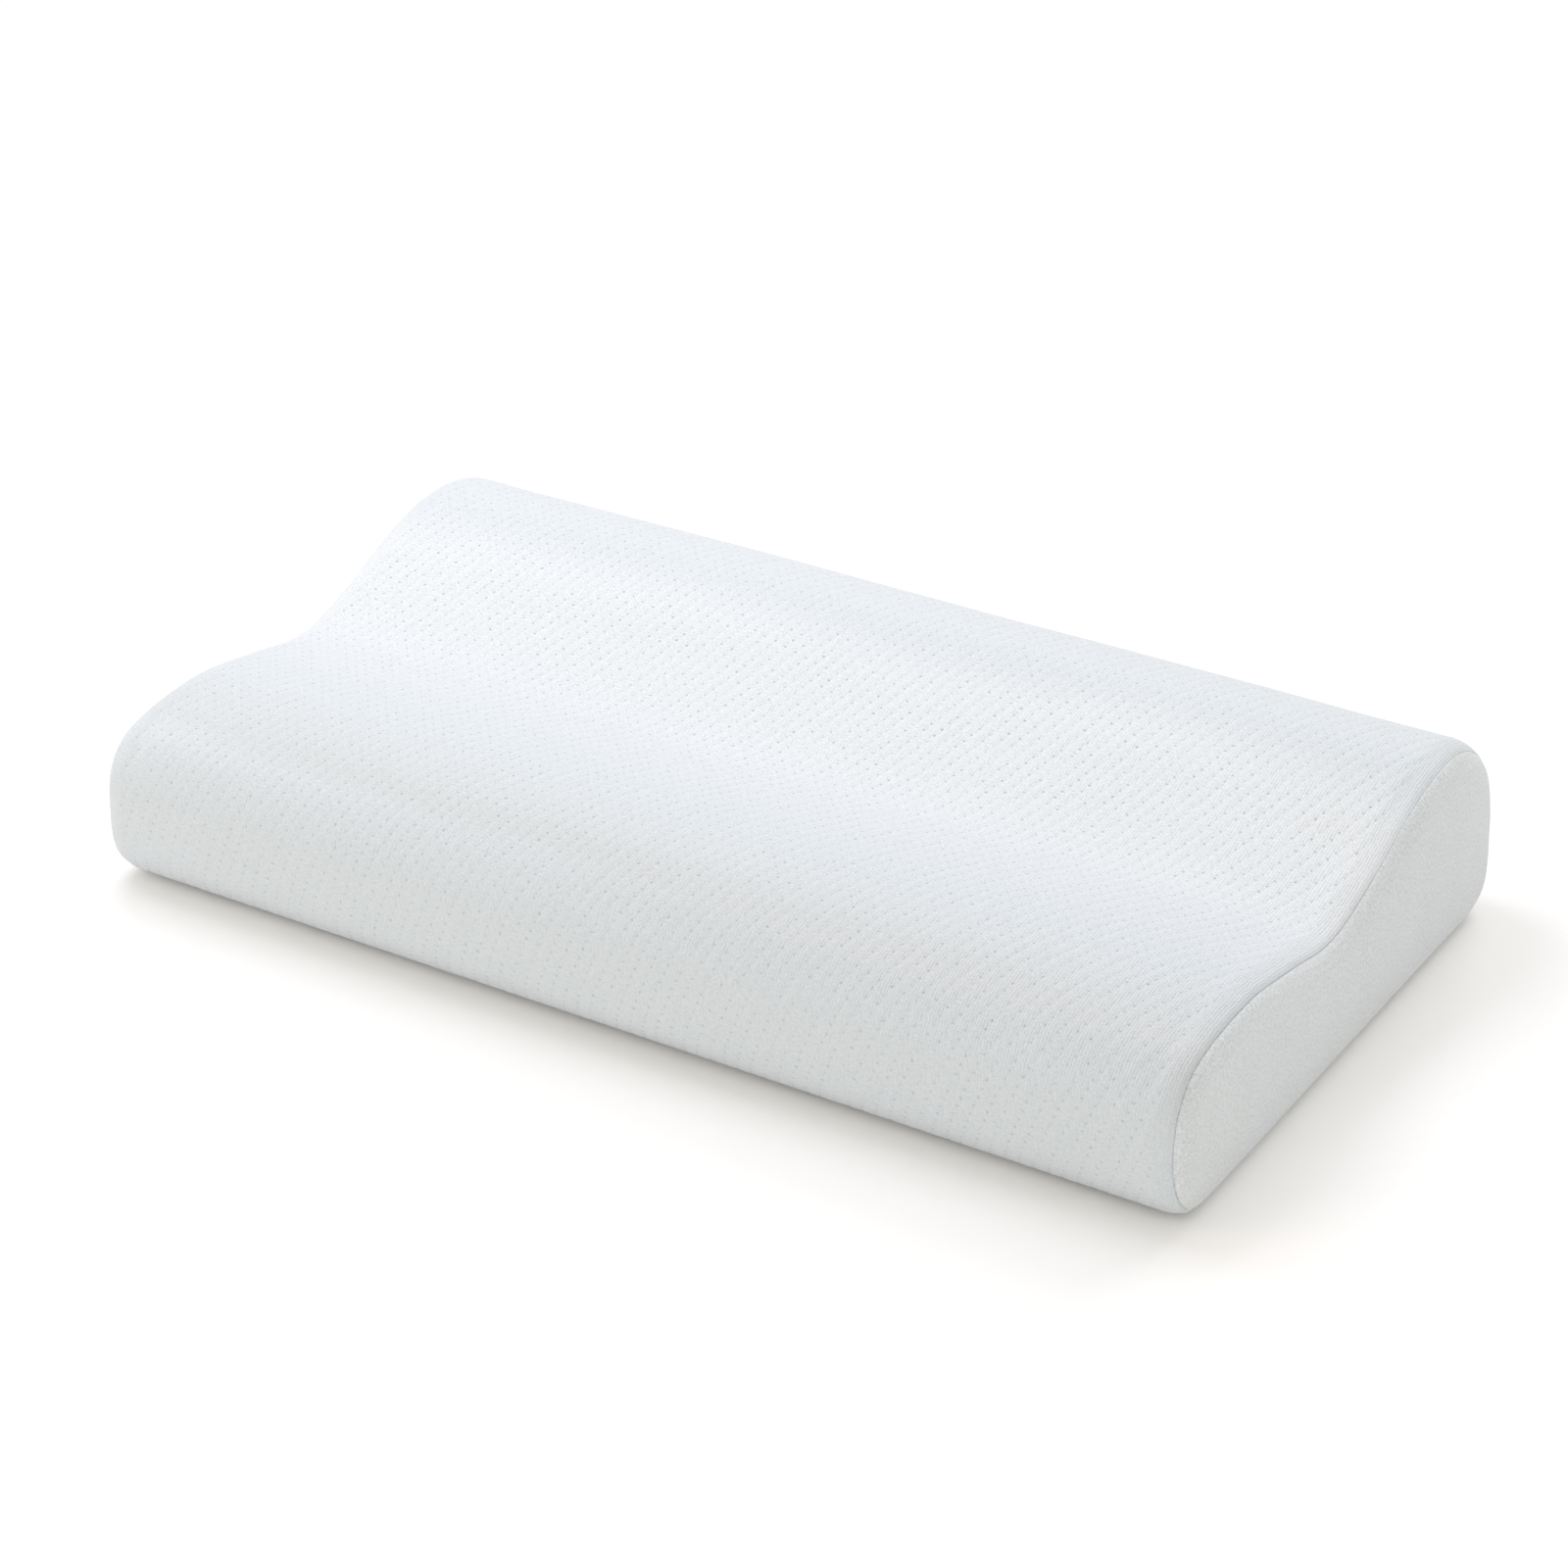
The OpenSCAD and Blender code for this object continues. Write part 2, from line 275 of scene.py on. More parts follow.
@dataclass(frozen=True)
class Shading:
    """Wires up the nodes that give one material its detail."""

    tree: bpy.types.NodeTree
    shader: bpy.types.Node

    def add(self, kind: str, links: dict | None = None, **settings: object) -> bpy.types.Node:
        """Adds one shader node with its settings, values and incoming links.

        Args:
            kind: The node's type name, after "ShaderNode".
            links: Input names or numbers, each with a socket to link from or a value to hold.
            settings: The node's own properties.

        Returns:
            The new node.
        """
        made = self.tree.nodes.new("ShaderNode" + kind)
        for name, value in settings.items():
            setattr(made, name, value)
        for name, value in (links or {}).items():
            if isinstance(value, Socket):
                self.tree.links.new(value, made.inputs[name])
            else:
                made.inputs[name].default_value = value
        return made

    def cloth(self) -> Socket:
        """Gives the place on the flat cloth, in millimetres."""
        return self.add("UVMap", uv_map="cloth").outputs["UV"]

    def spot(self) -> Socket:
        """Gives the place on the object, in metres."""
        return self.add("TexCoord").outputs["Object"]

    def number(self, operation: str, *values: object) -> Socket:
        """Does one sum on numbers or number sockets."""
        return self.add("Math", dict(enumerate(values)), operation=operation).outputs[0]

    def vector(self, operation: str, *values: object) -> Socket:
        """Does one sum on vectors or vector sockets; dot products and lengths are numbers."""
        made = self.add("VectorMath", dict(enumerate(values)), operation=operation)
        return made.outputs["Value" if operation in ("DOT_PRODUCT", "LENGTH") else "Vector"]

    def turned(self, value: Socket, rows: Sequence[Sequence[float]]) -> Socket:
        """Multiplies a flat vector by a matrix of two rows."""
        parts = [self.vector("DOT_PRODUCT", value, (*row, 0)) for row in rows]
        return self.add("CombineXYZ", {"X": parts[0], "Y": parts[1]}).outputs[0]

    def spread(
        self, value: Socket, ends: Sequence = (0, 1), to: Sequence = (0, 1), ease: str = "LINEAR"
    ) -> Socket:
        """Carries a value from one range, its ends, to another, and holds it beyond them."""
        ranges = {"From Min": ends[0], "From Max": ends[1], "To Min": to[0], "To Max": to[1]}
        return self.add("MapRange", {"Value": value, **ranges}, interpolation_type=ease).outputs[0]

    def noise(
        self, place: Socket, scale: float, detail: float, roughness: float = 0.5, out: str = "Fac"
    ) -> Socket:
        """Reads a soft irregular pattern: "Fac" gives one number, "Color" three."""
        links = {"Vector": place, "Scale": scale, "Detail": detail, "Roughness": roughness}
        return self.add("TexNoise", links).outputs[out]

    def ridges(
        self, place: Socket, pitch: float, wander: float, axis: str = "X", finer: float = 1.0
    ) -> Socket:
        """Reads parallel ridges, a pitch apart along an axis, as heights from 0 to 1."""
        links = {"Vector": place, "Scale": math.tau / 20 / pitch, "Distortion": wander}
        links |= {"Detail": 2.0, "Detail Scale": finer}
        return self.add("TexWave", links, wave_type="BANDS", bands_direction=axis).outputs["Fac"]

    def relief(self, height: Socket, strength: float, distance: float) -> None:
        """Raises the surface by a height, up to a distance in metres."""
        bump = self.add("Bump", {"Height": height, "Strength": strength, "Distance": distance})
        self.tree.links.new(bump.outputs["Normal"], self.shader.inputs["Normal"])

    def paint(self, share: Socket, first: object, second: object) -> None:
        """Colours the surface from a first to a second colour, each a hex colour or a socket."""
        pair = [linear(colour) if isinstance(colour, str) else colour for colour in (first, second)]
        mix = self.add("Mix", {"Factor": share, "A": pair[0], "B": pair[1]}, data_type="RGBA")
        self.tree.links.new(mix.outputs["Result"], self.shader.inputs["Base Color"])


@dataclass(frozen=True)
class Finish:
    """A material: what it is made of, its colour and how it scatters light."""

    name: str
    colour: str
    roughness: float
    sheen: float = 0.0
    ior: float = 1.5
    sheen_roughness: float = 0.6

    def pattern(self, nodes: Shading) -> None:
        """Adds the nodes that give the finish its detail. A plain finish has none."""

    def material(self) -> bpy.types.Material:
        """Makes the material, or gives back the one already made.

        Returns:
            The material.
        """
        known = bpy.data.materials.get(self.name)
        if known is not None:
            return known
        made = bpy.data.materials.new(self.name)
        made.use_nodes = True
        shader = made.node_tree.nodes["Principled BSDF"]
        for name, value in {
            "Base Color": linear(self.colour),
            "Roughness": self.roughness,
            "IOR": self.ior,
            "Sheen Weight": self.sheen,
            "Sheen Roughness": self.sheen_roughness,
        }.items():
            shader.inputs[name].default_value = value
        self.pattern(Shading(made.node_tree, shader))
        return made

    def dress(self, piece: Object) -> None:
        """Gives the whole of a piece this finish."""
        piece.data.materials.clear()
        piece.data.materials.append(self.material())


@dataclass(frozen=True)
class AirLayerKnit(Finish):
    """Air-layer polyester knit: two knitted faces held apart, drawn together at tuck stitches.

    The eye sees a soft matt white with a skewed lattice of small dark pin dots and pillows
    between them. Lengths are in millimetres on the flat cloth.
    """

    across: tuple[float, float] = (6.8, -1.5)
    along: tuple[float, float] = (1.8, 4.9)
    dot_radius: float = 0.55
    dot_colour: str = "#a9b2b5"
    dot_darkness: float = 0.85
    loosest_dot: float = 0.25
    lattice_drift: float = 1.4
    # Real wales are 0.9 mm apart; they are drawn wider so that they show
    wale_pitch: float = 1.5
    # Painted shade in the knit's colour, from the front edge to the back: darker and cooler on the
    # crests of both lobes and on the front, lighter in the valley and up the rear slope, as the
    # light falls there
    painted_shade_bands: tuple[tuple[float, str], ...] = (
        (0.10, "#e2e7ea"),
        (0.95, "#dde1e3"),
        (0.17, "#dbdedf"),
        (0.31, "#dce1e4"),
        (0.45, "#e0e4e7"),
        (0.58, "#eaedef"),
        (0.70, "#edf0f2"),
        (0.82, "#dfe4e7"),
    )

    def lattice(self, u: Array, s: Array) -> Array:
        """Measures how far each point of the cloth is from its nearest tuck stitch.

        Args:
            u: Places along the pillow on the flat cloth.
            s: Places over the pillow on the flat cloth.

        Returns:
            The distances in millimetres.
        """
        (ax, ay), (bx, by) = self.across, self.along
        area = ax * by - ay * bx
        p = (by * u - bx * s) / area
        q = (ax * s - ay * u) / area
        p -= np.rint(p)
        q -= np.rint(q)
        best = np.full(u.shape, np.inf)
        for m in (-1, 0, 1):
            for n in (-1, 0, 1):
                dx = (p + m) * ax + (q + n) * bx
                dy = (p + m) * ay + (q + n) * by
                best = np.minimum(best, np.hypot(dx, dy))
        return best

    def dots(self, nodes: Shading, place: Socket) -> Socket:
        """Draws the tuck stitches, each drawn in more or less tightly.

        Args:
            nodes: The material's nodes.
            place: The place on the flat cloth.

        Returns:
            How dark and deep the cloth is there, from 0 to 1.
        """
        (ax, ay), (bx, by) = self.across, self.along
        area = ax * by - ay * bx
        cell = nodes.turned(place, ((by / area, -bx / area), (-ay / area, ax / area)))
        shifted = nodes.vector("ADD", cell, (0.5, 0.5, 0))
        whole = nodes.vector("FLOOR", shifted)
        lot = nodes.add("TexWhiteNoise", {"Vector": whole}).outputs["Value"]
        tightness = nodes.spread(lot, to=(self.loosest_dot, 1))
        centred = nodes.vector("ADD", nodes.vector("FRACTION", shifted), (-0.5, -0.5, 0))
        distance = nodes.vector("LENGTH", nodes.turned(centred, ((ax, bx), (ay, by))))
        dot = nodes.spread(distance, (0, self.dot_radius * 2), (1, 0), "SMOOTHSTEP")
        weight = nodes.add("Attribute", attribute_name="dimples").outputs["Fac"]
        return nodes.number("MULTIPLY", nodes.number("MULTIPLY", dot, tightness), weight)

    def yarn_with_painted_shade(self, nodes: Shading) -> Socket:
        """Gives the knit's colour band by band, with a cloudy edge; the bands are painted shade,
        darker and cooler on the lobes' crests and the front, lighter in the valley and up the rear
        slope.
        """
        spot = nodes.spot()
        cloud = nodes.noise(spot, 4.0, 1.0, 0.4)
        depth = nodes.add("SeparateXYZ", {"Vector": spot}).outputs["Y"]
        share = nodes.spread(depth, (-0.18, 0.18))
        # Painted shade: the bands darken the knit on the lobes and the front and lighten it in the
        # valley, as the light falls there
        painted_shade_ramp = nodes.add("ValToRGB", {"Fac": nodes.number("MULTIPLY_ADD", cloud, 0.12, share)})
        painted_shade_ramp.color_ramp.interpolation = "EASE"
        stops = painted_shade_ramp.color_ramp.elements
        for k, (at, colour) in enumerate(self.painted_shade_bands):
            stop = stops[k] if k < 2 else stops.new(at)
            stop.position, stop.color = at, linear(colour)
        return painted_shade_ramp.outputs["Color"]

    def pattern(self, nodes: Shading) -> None:
        """Adds the pin dots, the fine wales, the loops and the painted shade with its faint cool
        cast.
        """
        cloth = nodes.cloth()
        drift = nodes.noise(cloth, 0.12, 2.0, out="Color")
        reach = (self.lattice_drift, self.lattice_drift, 0)
        place = nodes.vector("MULTIPLY_ADD", drift, reach, cloth)
        dots = self.dots(nodes, place)
        wale = nodes.ridges(place, self.wale_pitch, 1.2, finer=1.5)
        fuzz = nodes.noise(place, 0.8, 3.0, 0.6)
        loops = nodes.number("MULTIPLY", fuzz, 2.0)
        height = nodes.number("MULTIPLY_ADD", wale, 0.45, loops)
        nodes.relief(nodes.number("MULTIPLY_ADD", dots, -0.7, height), 0.8, 0.0004)
        specks = nodes.spread(fuzz, (0.35, 0.6), (0.22, 0))
        darkened = nodes.number("MULTIPLY_ADD", dots, self.dot_darkness, specks)
        # The base colour carries the painted shade of the bands, with the pin dots and specks on
        # top
        nodes.paint(darkened, self.yarn_with_painted_shade(nodes), self.dot_colour)


@dataclass(frozen=True)
class FineRibKnit(Finish):
    """Fine 1x1 rib polyester knit: close upright ribs, soft and matt, with a mottle in the yarn."""

    # Real ribs are 1 mm apart; they are drawn wider so that they show
    rib_pitch: float = 1.5
    mottle: str = "#dfe3e5"

    def pattern(self, nodes: Shading) -> None:
        """Adds the ribs, the loops and the yarn's mottle."""
        place = nodes.cloth()
        rib = nodes.ridges(place, self.rib_pitch, 0.8)
        fuzz = nodes.noise(place, 0.7, 3.0, 0.65)
        loops = nodes.number("MULTIPLY", fuzz, 2.5)
        nodes.relief(nodes.number("MULTIPLY_ADD", rib, 0.8, loops), 0.8, 0.0005)
        nodes.paint(nodes.spread(fuzz, (0.35, 0.6)), self.mottle, self.colour)


@dataclass(frozen=True)
class OpenCellFoam(Finish):
    """Moulded viscoelastic polyurethane foam: matt cream, with open cells under a thin skin."""

    cell: float = 0.9
    shade: str = "#e4dcc4"

    def pattern(self, nodes: Shading) -> None:
        """Adds cells of about a millimetre and a slow change of shade."""
        spot = nodes.spot()
        cells = nodes.add("TexVoronoi", {"Vector": spot, "Scale": 1 / (self.cell * MM)})
        nodes.relief(cells.outputs["Distance"], 0.6, 0.0004)
        nodes.paint(nodes.noise(spot, 12.0, 3.0), self.colour, self.shade)


@dataclass(frozen=True)
class WovenCloth(Finish):
    """A thin cloth, tape or thread: threads crossing at a real pitch, matt to satin."""

    thread: float = 0.5
    warp_axis: str = "X"
    weft_axis: str = "Z"
    shade: str = "#d8dadb"
    relief: float = 0.5

    def pattern(self, nodes: Shading) -> None:
        """Adds the two sets of threads, darker in the gaps between them."""
        spot = nodes.spot()
        warp = nodes.ridges(spot, self.thread * MM, 0.3, self.warp_axis)
        weft = nodes.ridges(spot, self.thread * MM, 0.3, self.weft_axis)
        crossing = nodes.number("MULTIPLY", warp, weft)
        nodes.relief(crossing, self.relief, 0.0002)
        nodes.paint(crossing, self.shade, self.colour)


@dataclass(frozen=True)
class MouldedPlastic(Finish):
    """Drawn or moulded thermoplastic: even in colour and satin, with a slight waviness."""

    wave: float = 1.5
    shade: str = "#dedfdd"

    def pattern(self, nodes: Shading) -> None:
        """Adds slow waves a millimetre or two long, in height and shade."""
        cloud = nodes.noise(nodes.spot(), 1 / (self.wave * MM), 2.0)
        nodes.relief(cloud, 0.25, 0.0001)
        nodes.paint(cloud, self.colour, self.shade)


@dataclass(frozen=True)
class BackLitAcrylic(MouldedPlastic):
    """A sheet of matt white acrylic, lit faintly from below, so that shadows on it stay soft."""

    glow: float = 0.02

    def pattern(self, nodes: Shading) -> None:
        """Adds the plastic's own detail and the glow."""
        super().pattern(nodes)
        nodes.shader.inputs["Emission Color"].default_value = linear("#ffffff")
        nodes.shader.inputs["Emission Strength"].default_value = self.glow


@dataclass(frozen=True)
class PaintedZinc(Finish):
    """Die-cast zinc alloy with baked white enamel: satin, fine orange peel, duller where worn."""

    peel: float = 0.6
    worn: str = "#dfe0de"
    dulling: float = 0.2

    def pattern(self, nodes: Shading) -> None:
        """Adds the enamel's orange peel and worn patches a few millimetres wide."""
        spot = nodes.spot()
        nodes.relief(nodes.noise(spot, 1 / (self.peel * MM), 1.0), 0.15, 0.0001)
        patch = nodes.spread(nodes.noise(spot, 350.0, 4.0, 0.7), (0.58, 0.72))
        nodes.paint(patch, self.colour, self.worn)
        rough = nodes.spread(patch, to=(self.roughness, self.roughness + self.dulling))
        nodes.tree.links.new(rough, nodes.shader.inputs["Roughness"])


TOP_KNIT = AirLayerKnit("air_layer_polyester_knit", "#f0f2f2", 0.9, sheen=0.15)
END_KNIT = FineRibKnit("fine_rib_polyester_knit", "#f1f4f5", 0.92, sheen=0.15)
BASE_KNIT = FineRibKnit("plain_polyester_interlock", "#eff2f3", 0.92, sheen=0.15, rib_pitch=1.8)
FOAM = OpenCellFoam("viscoelastic_polyurethane_foam", "#f2ead6", 0.95)
LINER = WovenCloth("polyester_tricot_liner", "#e6e9ec", 0.75, sheen=0.2, thread=0.9)
ALLOWANCE = WovenCloth("overlocked_knit_edge", "#e6e8e8", 0.9, sheen=0.2, thread=1.1, relief=0.7)
TAPE = WovenCloth("woven_polyester_zip_tape", "#eff0ef", 0.8, sheen=0.1, thread=0.55, relief=0.8)
THREAD = WovenCloth("spun_polyester_thread", "#f6f6f4", 0.75, sheen=0.2, thread=0.4, relief=0.8)
LABEL = WovenCloth(
    "polyester_satin_ribbon",
    "#f7f7f6",
    0.4,
    sheen=0.1,
    thread=0.3,
    warp_axis="Y",
    shade="#eeeeec",
    relief=0.25,
)
COIL = MouldedPlastic("polyester_monofilament", "#f1f2f0", 0.35, ior=1.57)
STOPS = MouldedPlastic("moulded_acetal", "#ecedea", 0.4, ior=1.48, wave=2.5)
ENAMEL = PaintedZinc("enamelled_die_cast_zinc", "#edeeec", 0.35)
FLOOR = BackLitAcrylic("matt_white_acrylic", "#fffefc", 0.9, wave=400.0, shade="#fffdfb")


def enlist(piece: Object, finish: Finish, node: str, body: Body = Body.PILLOW) -> None:
    """Dresses a piece, hides the CAD node it stands for and hangs it on the body it rides on.

    Args:
        piece: The piece.
        finish: Its material.
        node: The CAD node it stands for.
        body: What it rides on.
    """
    finish.dress(piece)
    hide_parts(node)
    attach(piece, body.value)
    LOG.info("%s: %d faces", piece.name, len(piece.data.polygons))


# ---------------------------------------------------------------- the pillow's form


@dataclass
class LobedSection:
    """The closed outline across the pillow, in y and z.

    Distances along it start at the seam low on the front and run over both lobes, down the back
    and along the underside.
    """

    half_depth: float
    rear_height: float
    front_height: float
    valley_height: float
    valley_y: float = -12.0
    softness: float = 5.0
    step: float = 1.0
    points: Array = field(init=False)
    normals: Array = field(init=False)
    length: float = field(init=False)

    def __post_init__(self) -> None:
        """Works out the smooth outline and its outward directions at even steps."""
        dense = self.evenly(self.through(self.knots()))
        wave = np.fft.fftfreq(len(dense), d=self.step)
        soft = np.exp(-2 * (math.pi * self.softness * wave) ** 2)
        dense = np.fft.ifft(np.fft.fft(dense, axis=0) * soft[:, None], axis=0).real
        dense[:, 1] = np.maximum(dense[:, 1], 0)
        self.points = self.evenly(dense)
        chord = np.roll(self.points, -1, 0) - np.roll(self.points, 1, 0)
        across = np.stack([-chord[:, 1], chord[:, 0]], 1)
        self.normals = across / np.linalg.norm(chord, axis=1, keepdims=True)
        self.length = self.step * len(self.points)

    def knots(self) -> Array:
        """Gives the points the outline passes through, in order from the front seam."""
        back, rise = self.half_depth, self.rear_height - self.valley_height
        front_crest, rear_crest = 75 - back, back - 72
        return np.array(
            [
                (17 - back, 4),
                (3.5 - back, 20),
                (-back, 44),
                (4.5 - back, self.front_height - 23),
                (23 - back, self.front_height - 6),
                (front_crest, self.front_height),
                (
                    (front_crest + self.valley_y) / 2,
                    (self.front_height + self.valley_height) / 2 + 0.5,
                ),
                (self.valley_y, self.valley_height),
                (self.valley_y + 42, self.valley_height + 0.32 * rise),
                (self.valley_y + 80, self.valley_height + 0.78 * rise),
                (rear_crest, self.rear_height),
                (back - 41, self.rear_height - 3.5),
                (back - 12, self.rear_height - 24),
                (back, 54),
                (back, 26),
                (back - 8.5, 7.5),
                (back - 29, 0),
                (0.2 * back, 0),
                (-0.4 * back, 0),
                (37 - back, 0),
            ]
        )

    def through(self, knots: Array) -> Array:
        """Runs a smooth closed curve through the knots.

        Args:
            knots: The points to pass through, in order.

        Returns:
            Thirty points for each span.
        """
        after = np.roll(knots, -1, 0) - knots
        before = np.roll(after, 1, 0)
        spans = np.linalg.norm(after, axis=1)
        slopes = (before + after) / (spans + np.roll(spans, 1))[:, None]
        curve = []
        for t in np.arange(0, 1, 1 / 30):
            curve.append(
                (2 * t**3 - 3 * t**2 + 1) * knots
                + (t**3 - 2 * t**2 + t) * spans[:, None] * slopes
                + (3 * t**2 - 2 * t**3) * np.roll(knots, -1, 0)
                + (t**3 - t**2) * spans[:, None] * np.roll(slopes, -1, 0)
            )
        return np.stack(curve, axis=1).reshape(-1, 2)

    def evenly(self, curve: Array) -> Array:
        """Spaces a closed curve's points evenly, about 1 mm apart, and notes the exact step."""
        closed = np.vstack([curve, curve[:1]])
        run = np.concatenate([[0], np.cumsum(np.linalg.norm(np.diff(closed, axis=0), axis=1))])
        count = round(run[-1])
        self.step = run[-1] / count
        at = np.arange(count) * self.step
        return np.stack([np.interp(at, run, closed[:, k]) for k in (0, 1)], axis=1)

    def at(self, s: Array) -> tuple[Array, Array]:
        """Looks up the outline at distances along it.

        Args:
            s: Distances in millimetres; they wrap round.

        Returns:
            The points and the outward directions there, each with a last axis of y and z.
        """
        run = np.arange(len(self.points) + 1) * self.step
        where = np.mod(s, self.length)
        point, normal = (
            np.stack([np.interp(where, run, np.append(row, row[0])) for row in known.T], -1)
            for known in (self.points, self.normals)
        )
        return point, normal / np.linalg.norm(normal, axis=-1, keepdims=True)

    def distance_to(self, height: float) -> float:
        """Finds how far along the outline the back comes down to a height."""
        facing_back = (self.points[:, 0] > 0.8 * self.half_depth) & (self.normals[:, 0] >= 0.7)
        back = np.where(facing_back)[0]
        return float(back[np.argmin(np.abs(self.points[back, 1] - height))] * self.step)


@dataclass
class PillowForm:
    """The cover's outer surface: the section carried along, with a round shoulder at each end."""

    section: LobedSection
    half_length: float
    shoulder: float = 18.0
    foot_shoulder: float = 12.0
    seam_turn: float = math.radians(43)

    def radius(self, z: Array) -> Array:
        """Gives the shoulder's radius at a height: it is tighter at the foot."""
        return self.foot_shoulder + (self.shoulder - self.foot_shoulder) * smoothstep(z, 5, 45)

    def half_width(self, s: Array) -> Array:
        """Gives half the wrap's flat width, from the middle to the end seam."""
        point, _ = self.section.at(s)
        return self.half_length - self.radius(point[..., 1]) * (1 - self.seam_turn)

    def place(self, u: Array, s: Array) -> tuple[Array, Array]:
        """Finds where a point of the flat cloth lies on the form.

        Args:
            u: Distance along the pillow from its middle, along the cloth.
            s: Distance over the pillow from the front seam.

        Returns:
            The places and the outward directions, each with a last axis of x, y and z.
        """
        point, normal = self.section.at(s)
        radius = self.radius(point[..., 1])
        straight = self.half_length - radius
        turn = np.clip((np.abs(u) - straight) / radius, 0, math.pi / 2)
        side = np.sign(u)
        past = np.maximum(np.abs(u) - straight - radius * math.pi / 2, 0)
        sink = radius * (1 - np.cos(turn)) + past
        x = np.where(turn > 0, side * (straight + radius * np.sin(turn)), u)
        flat = point - sink[..., None] * normal
        place = np.concatenate([x[..., None], flat], -1)
        sideways = (side * np.sin(turn))[..., None]
        return place, np.concatenate([sideways, np.cos(turn)[..., None] * normal], -1)

    def end_place(
        self, y: Array, z: Array, side: Side, batch: int = 2000
    ) -> tuple[Array, Array, Array]:
        """Finds where a point of an end panel lies, from its place seen square on.

        Args:
            y: Places along the depth.
            z: Heights.
            side: Which end.
            batch: How many points are worked out at once.

        Returns:
            The places, the outward directions, and the distances in from the end seam.
        """
        along = np.arange(0, self.section.length, 1.0)
        seam, _ = self.place(self.half_width(along), along)
        rim, outward = self.section.at(along)
        radii = self.radius(rim[:, 1])
        shape = y.shape
        wanted = np.stack([y.ravel(), z.ravel()], -1)
        ahead = np.roll(seam[:, 1:], -1, 0) - seam[:, 1:]
        depth, nearest = np.empty(len(wanted)), np.empty(len(wanted), int)
        for first in range(0, len(wanted), batch):
            some = slice(first, first + batch)
            offset = wanted[some, None, :] - seam[None, :, 1:]
            t = np.clip((offset * ahead).sum(-1) / (ahead**2).sum(-1), 0, 1)
            gap = np.linalg.norm(offset - t[..., None] * ahead, axis=-1)
            depth[some], nearest[some] = gap.min(1), gap.argmin(1)
        radius, facing = radii[nearest], outward[nearest]
        cosine = np.clip(np.cos(self.seam_turn) - depth / radius, 0, 1)
        sine = np.sqrt(1 - cosine**2)
        x = side.value * (self.half_length - radius + radius * sine)
        place = np.stack([x, wanted[:, 0], wanted[:, 1]], -1).reshape(*shape, 3)
        normal = np.stack([side.value * sine, cosine * facing[:, 0], cosine * facing[:, 1]], -1)
        return place, normal.reshape(*shape, 3), depth.reshape(shape)


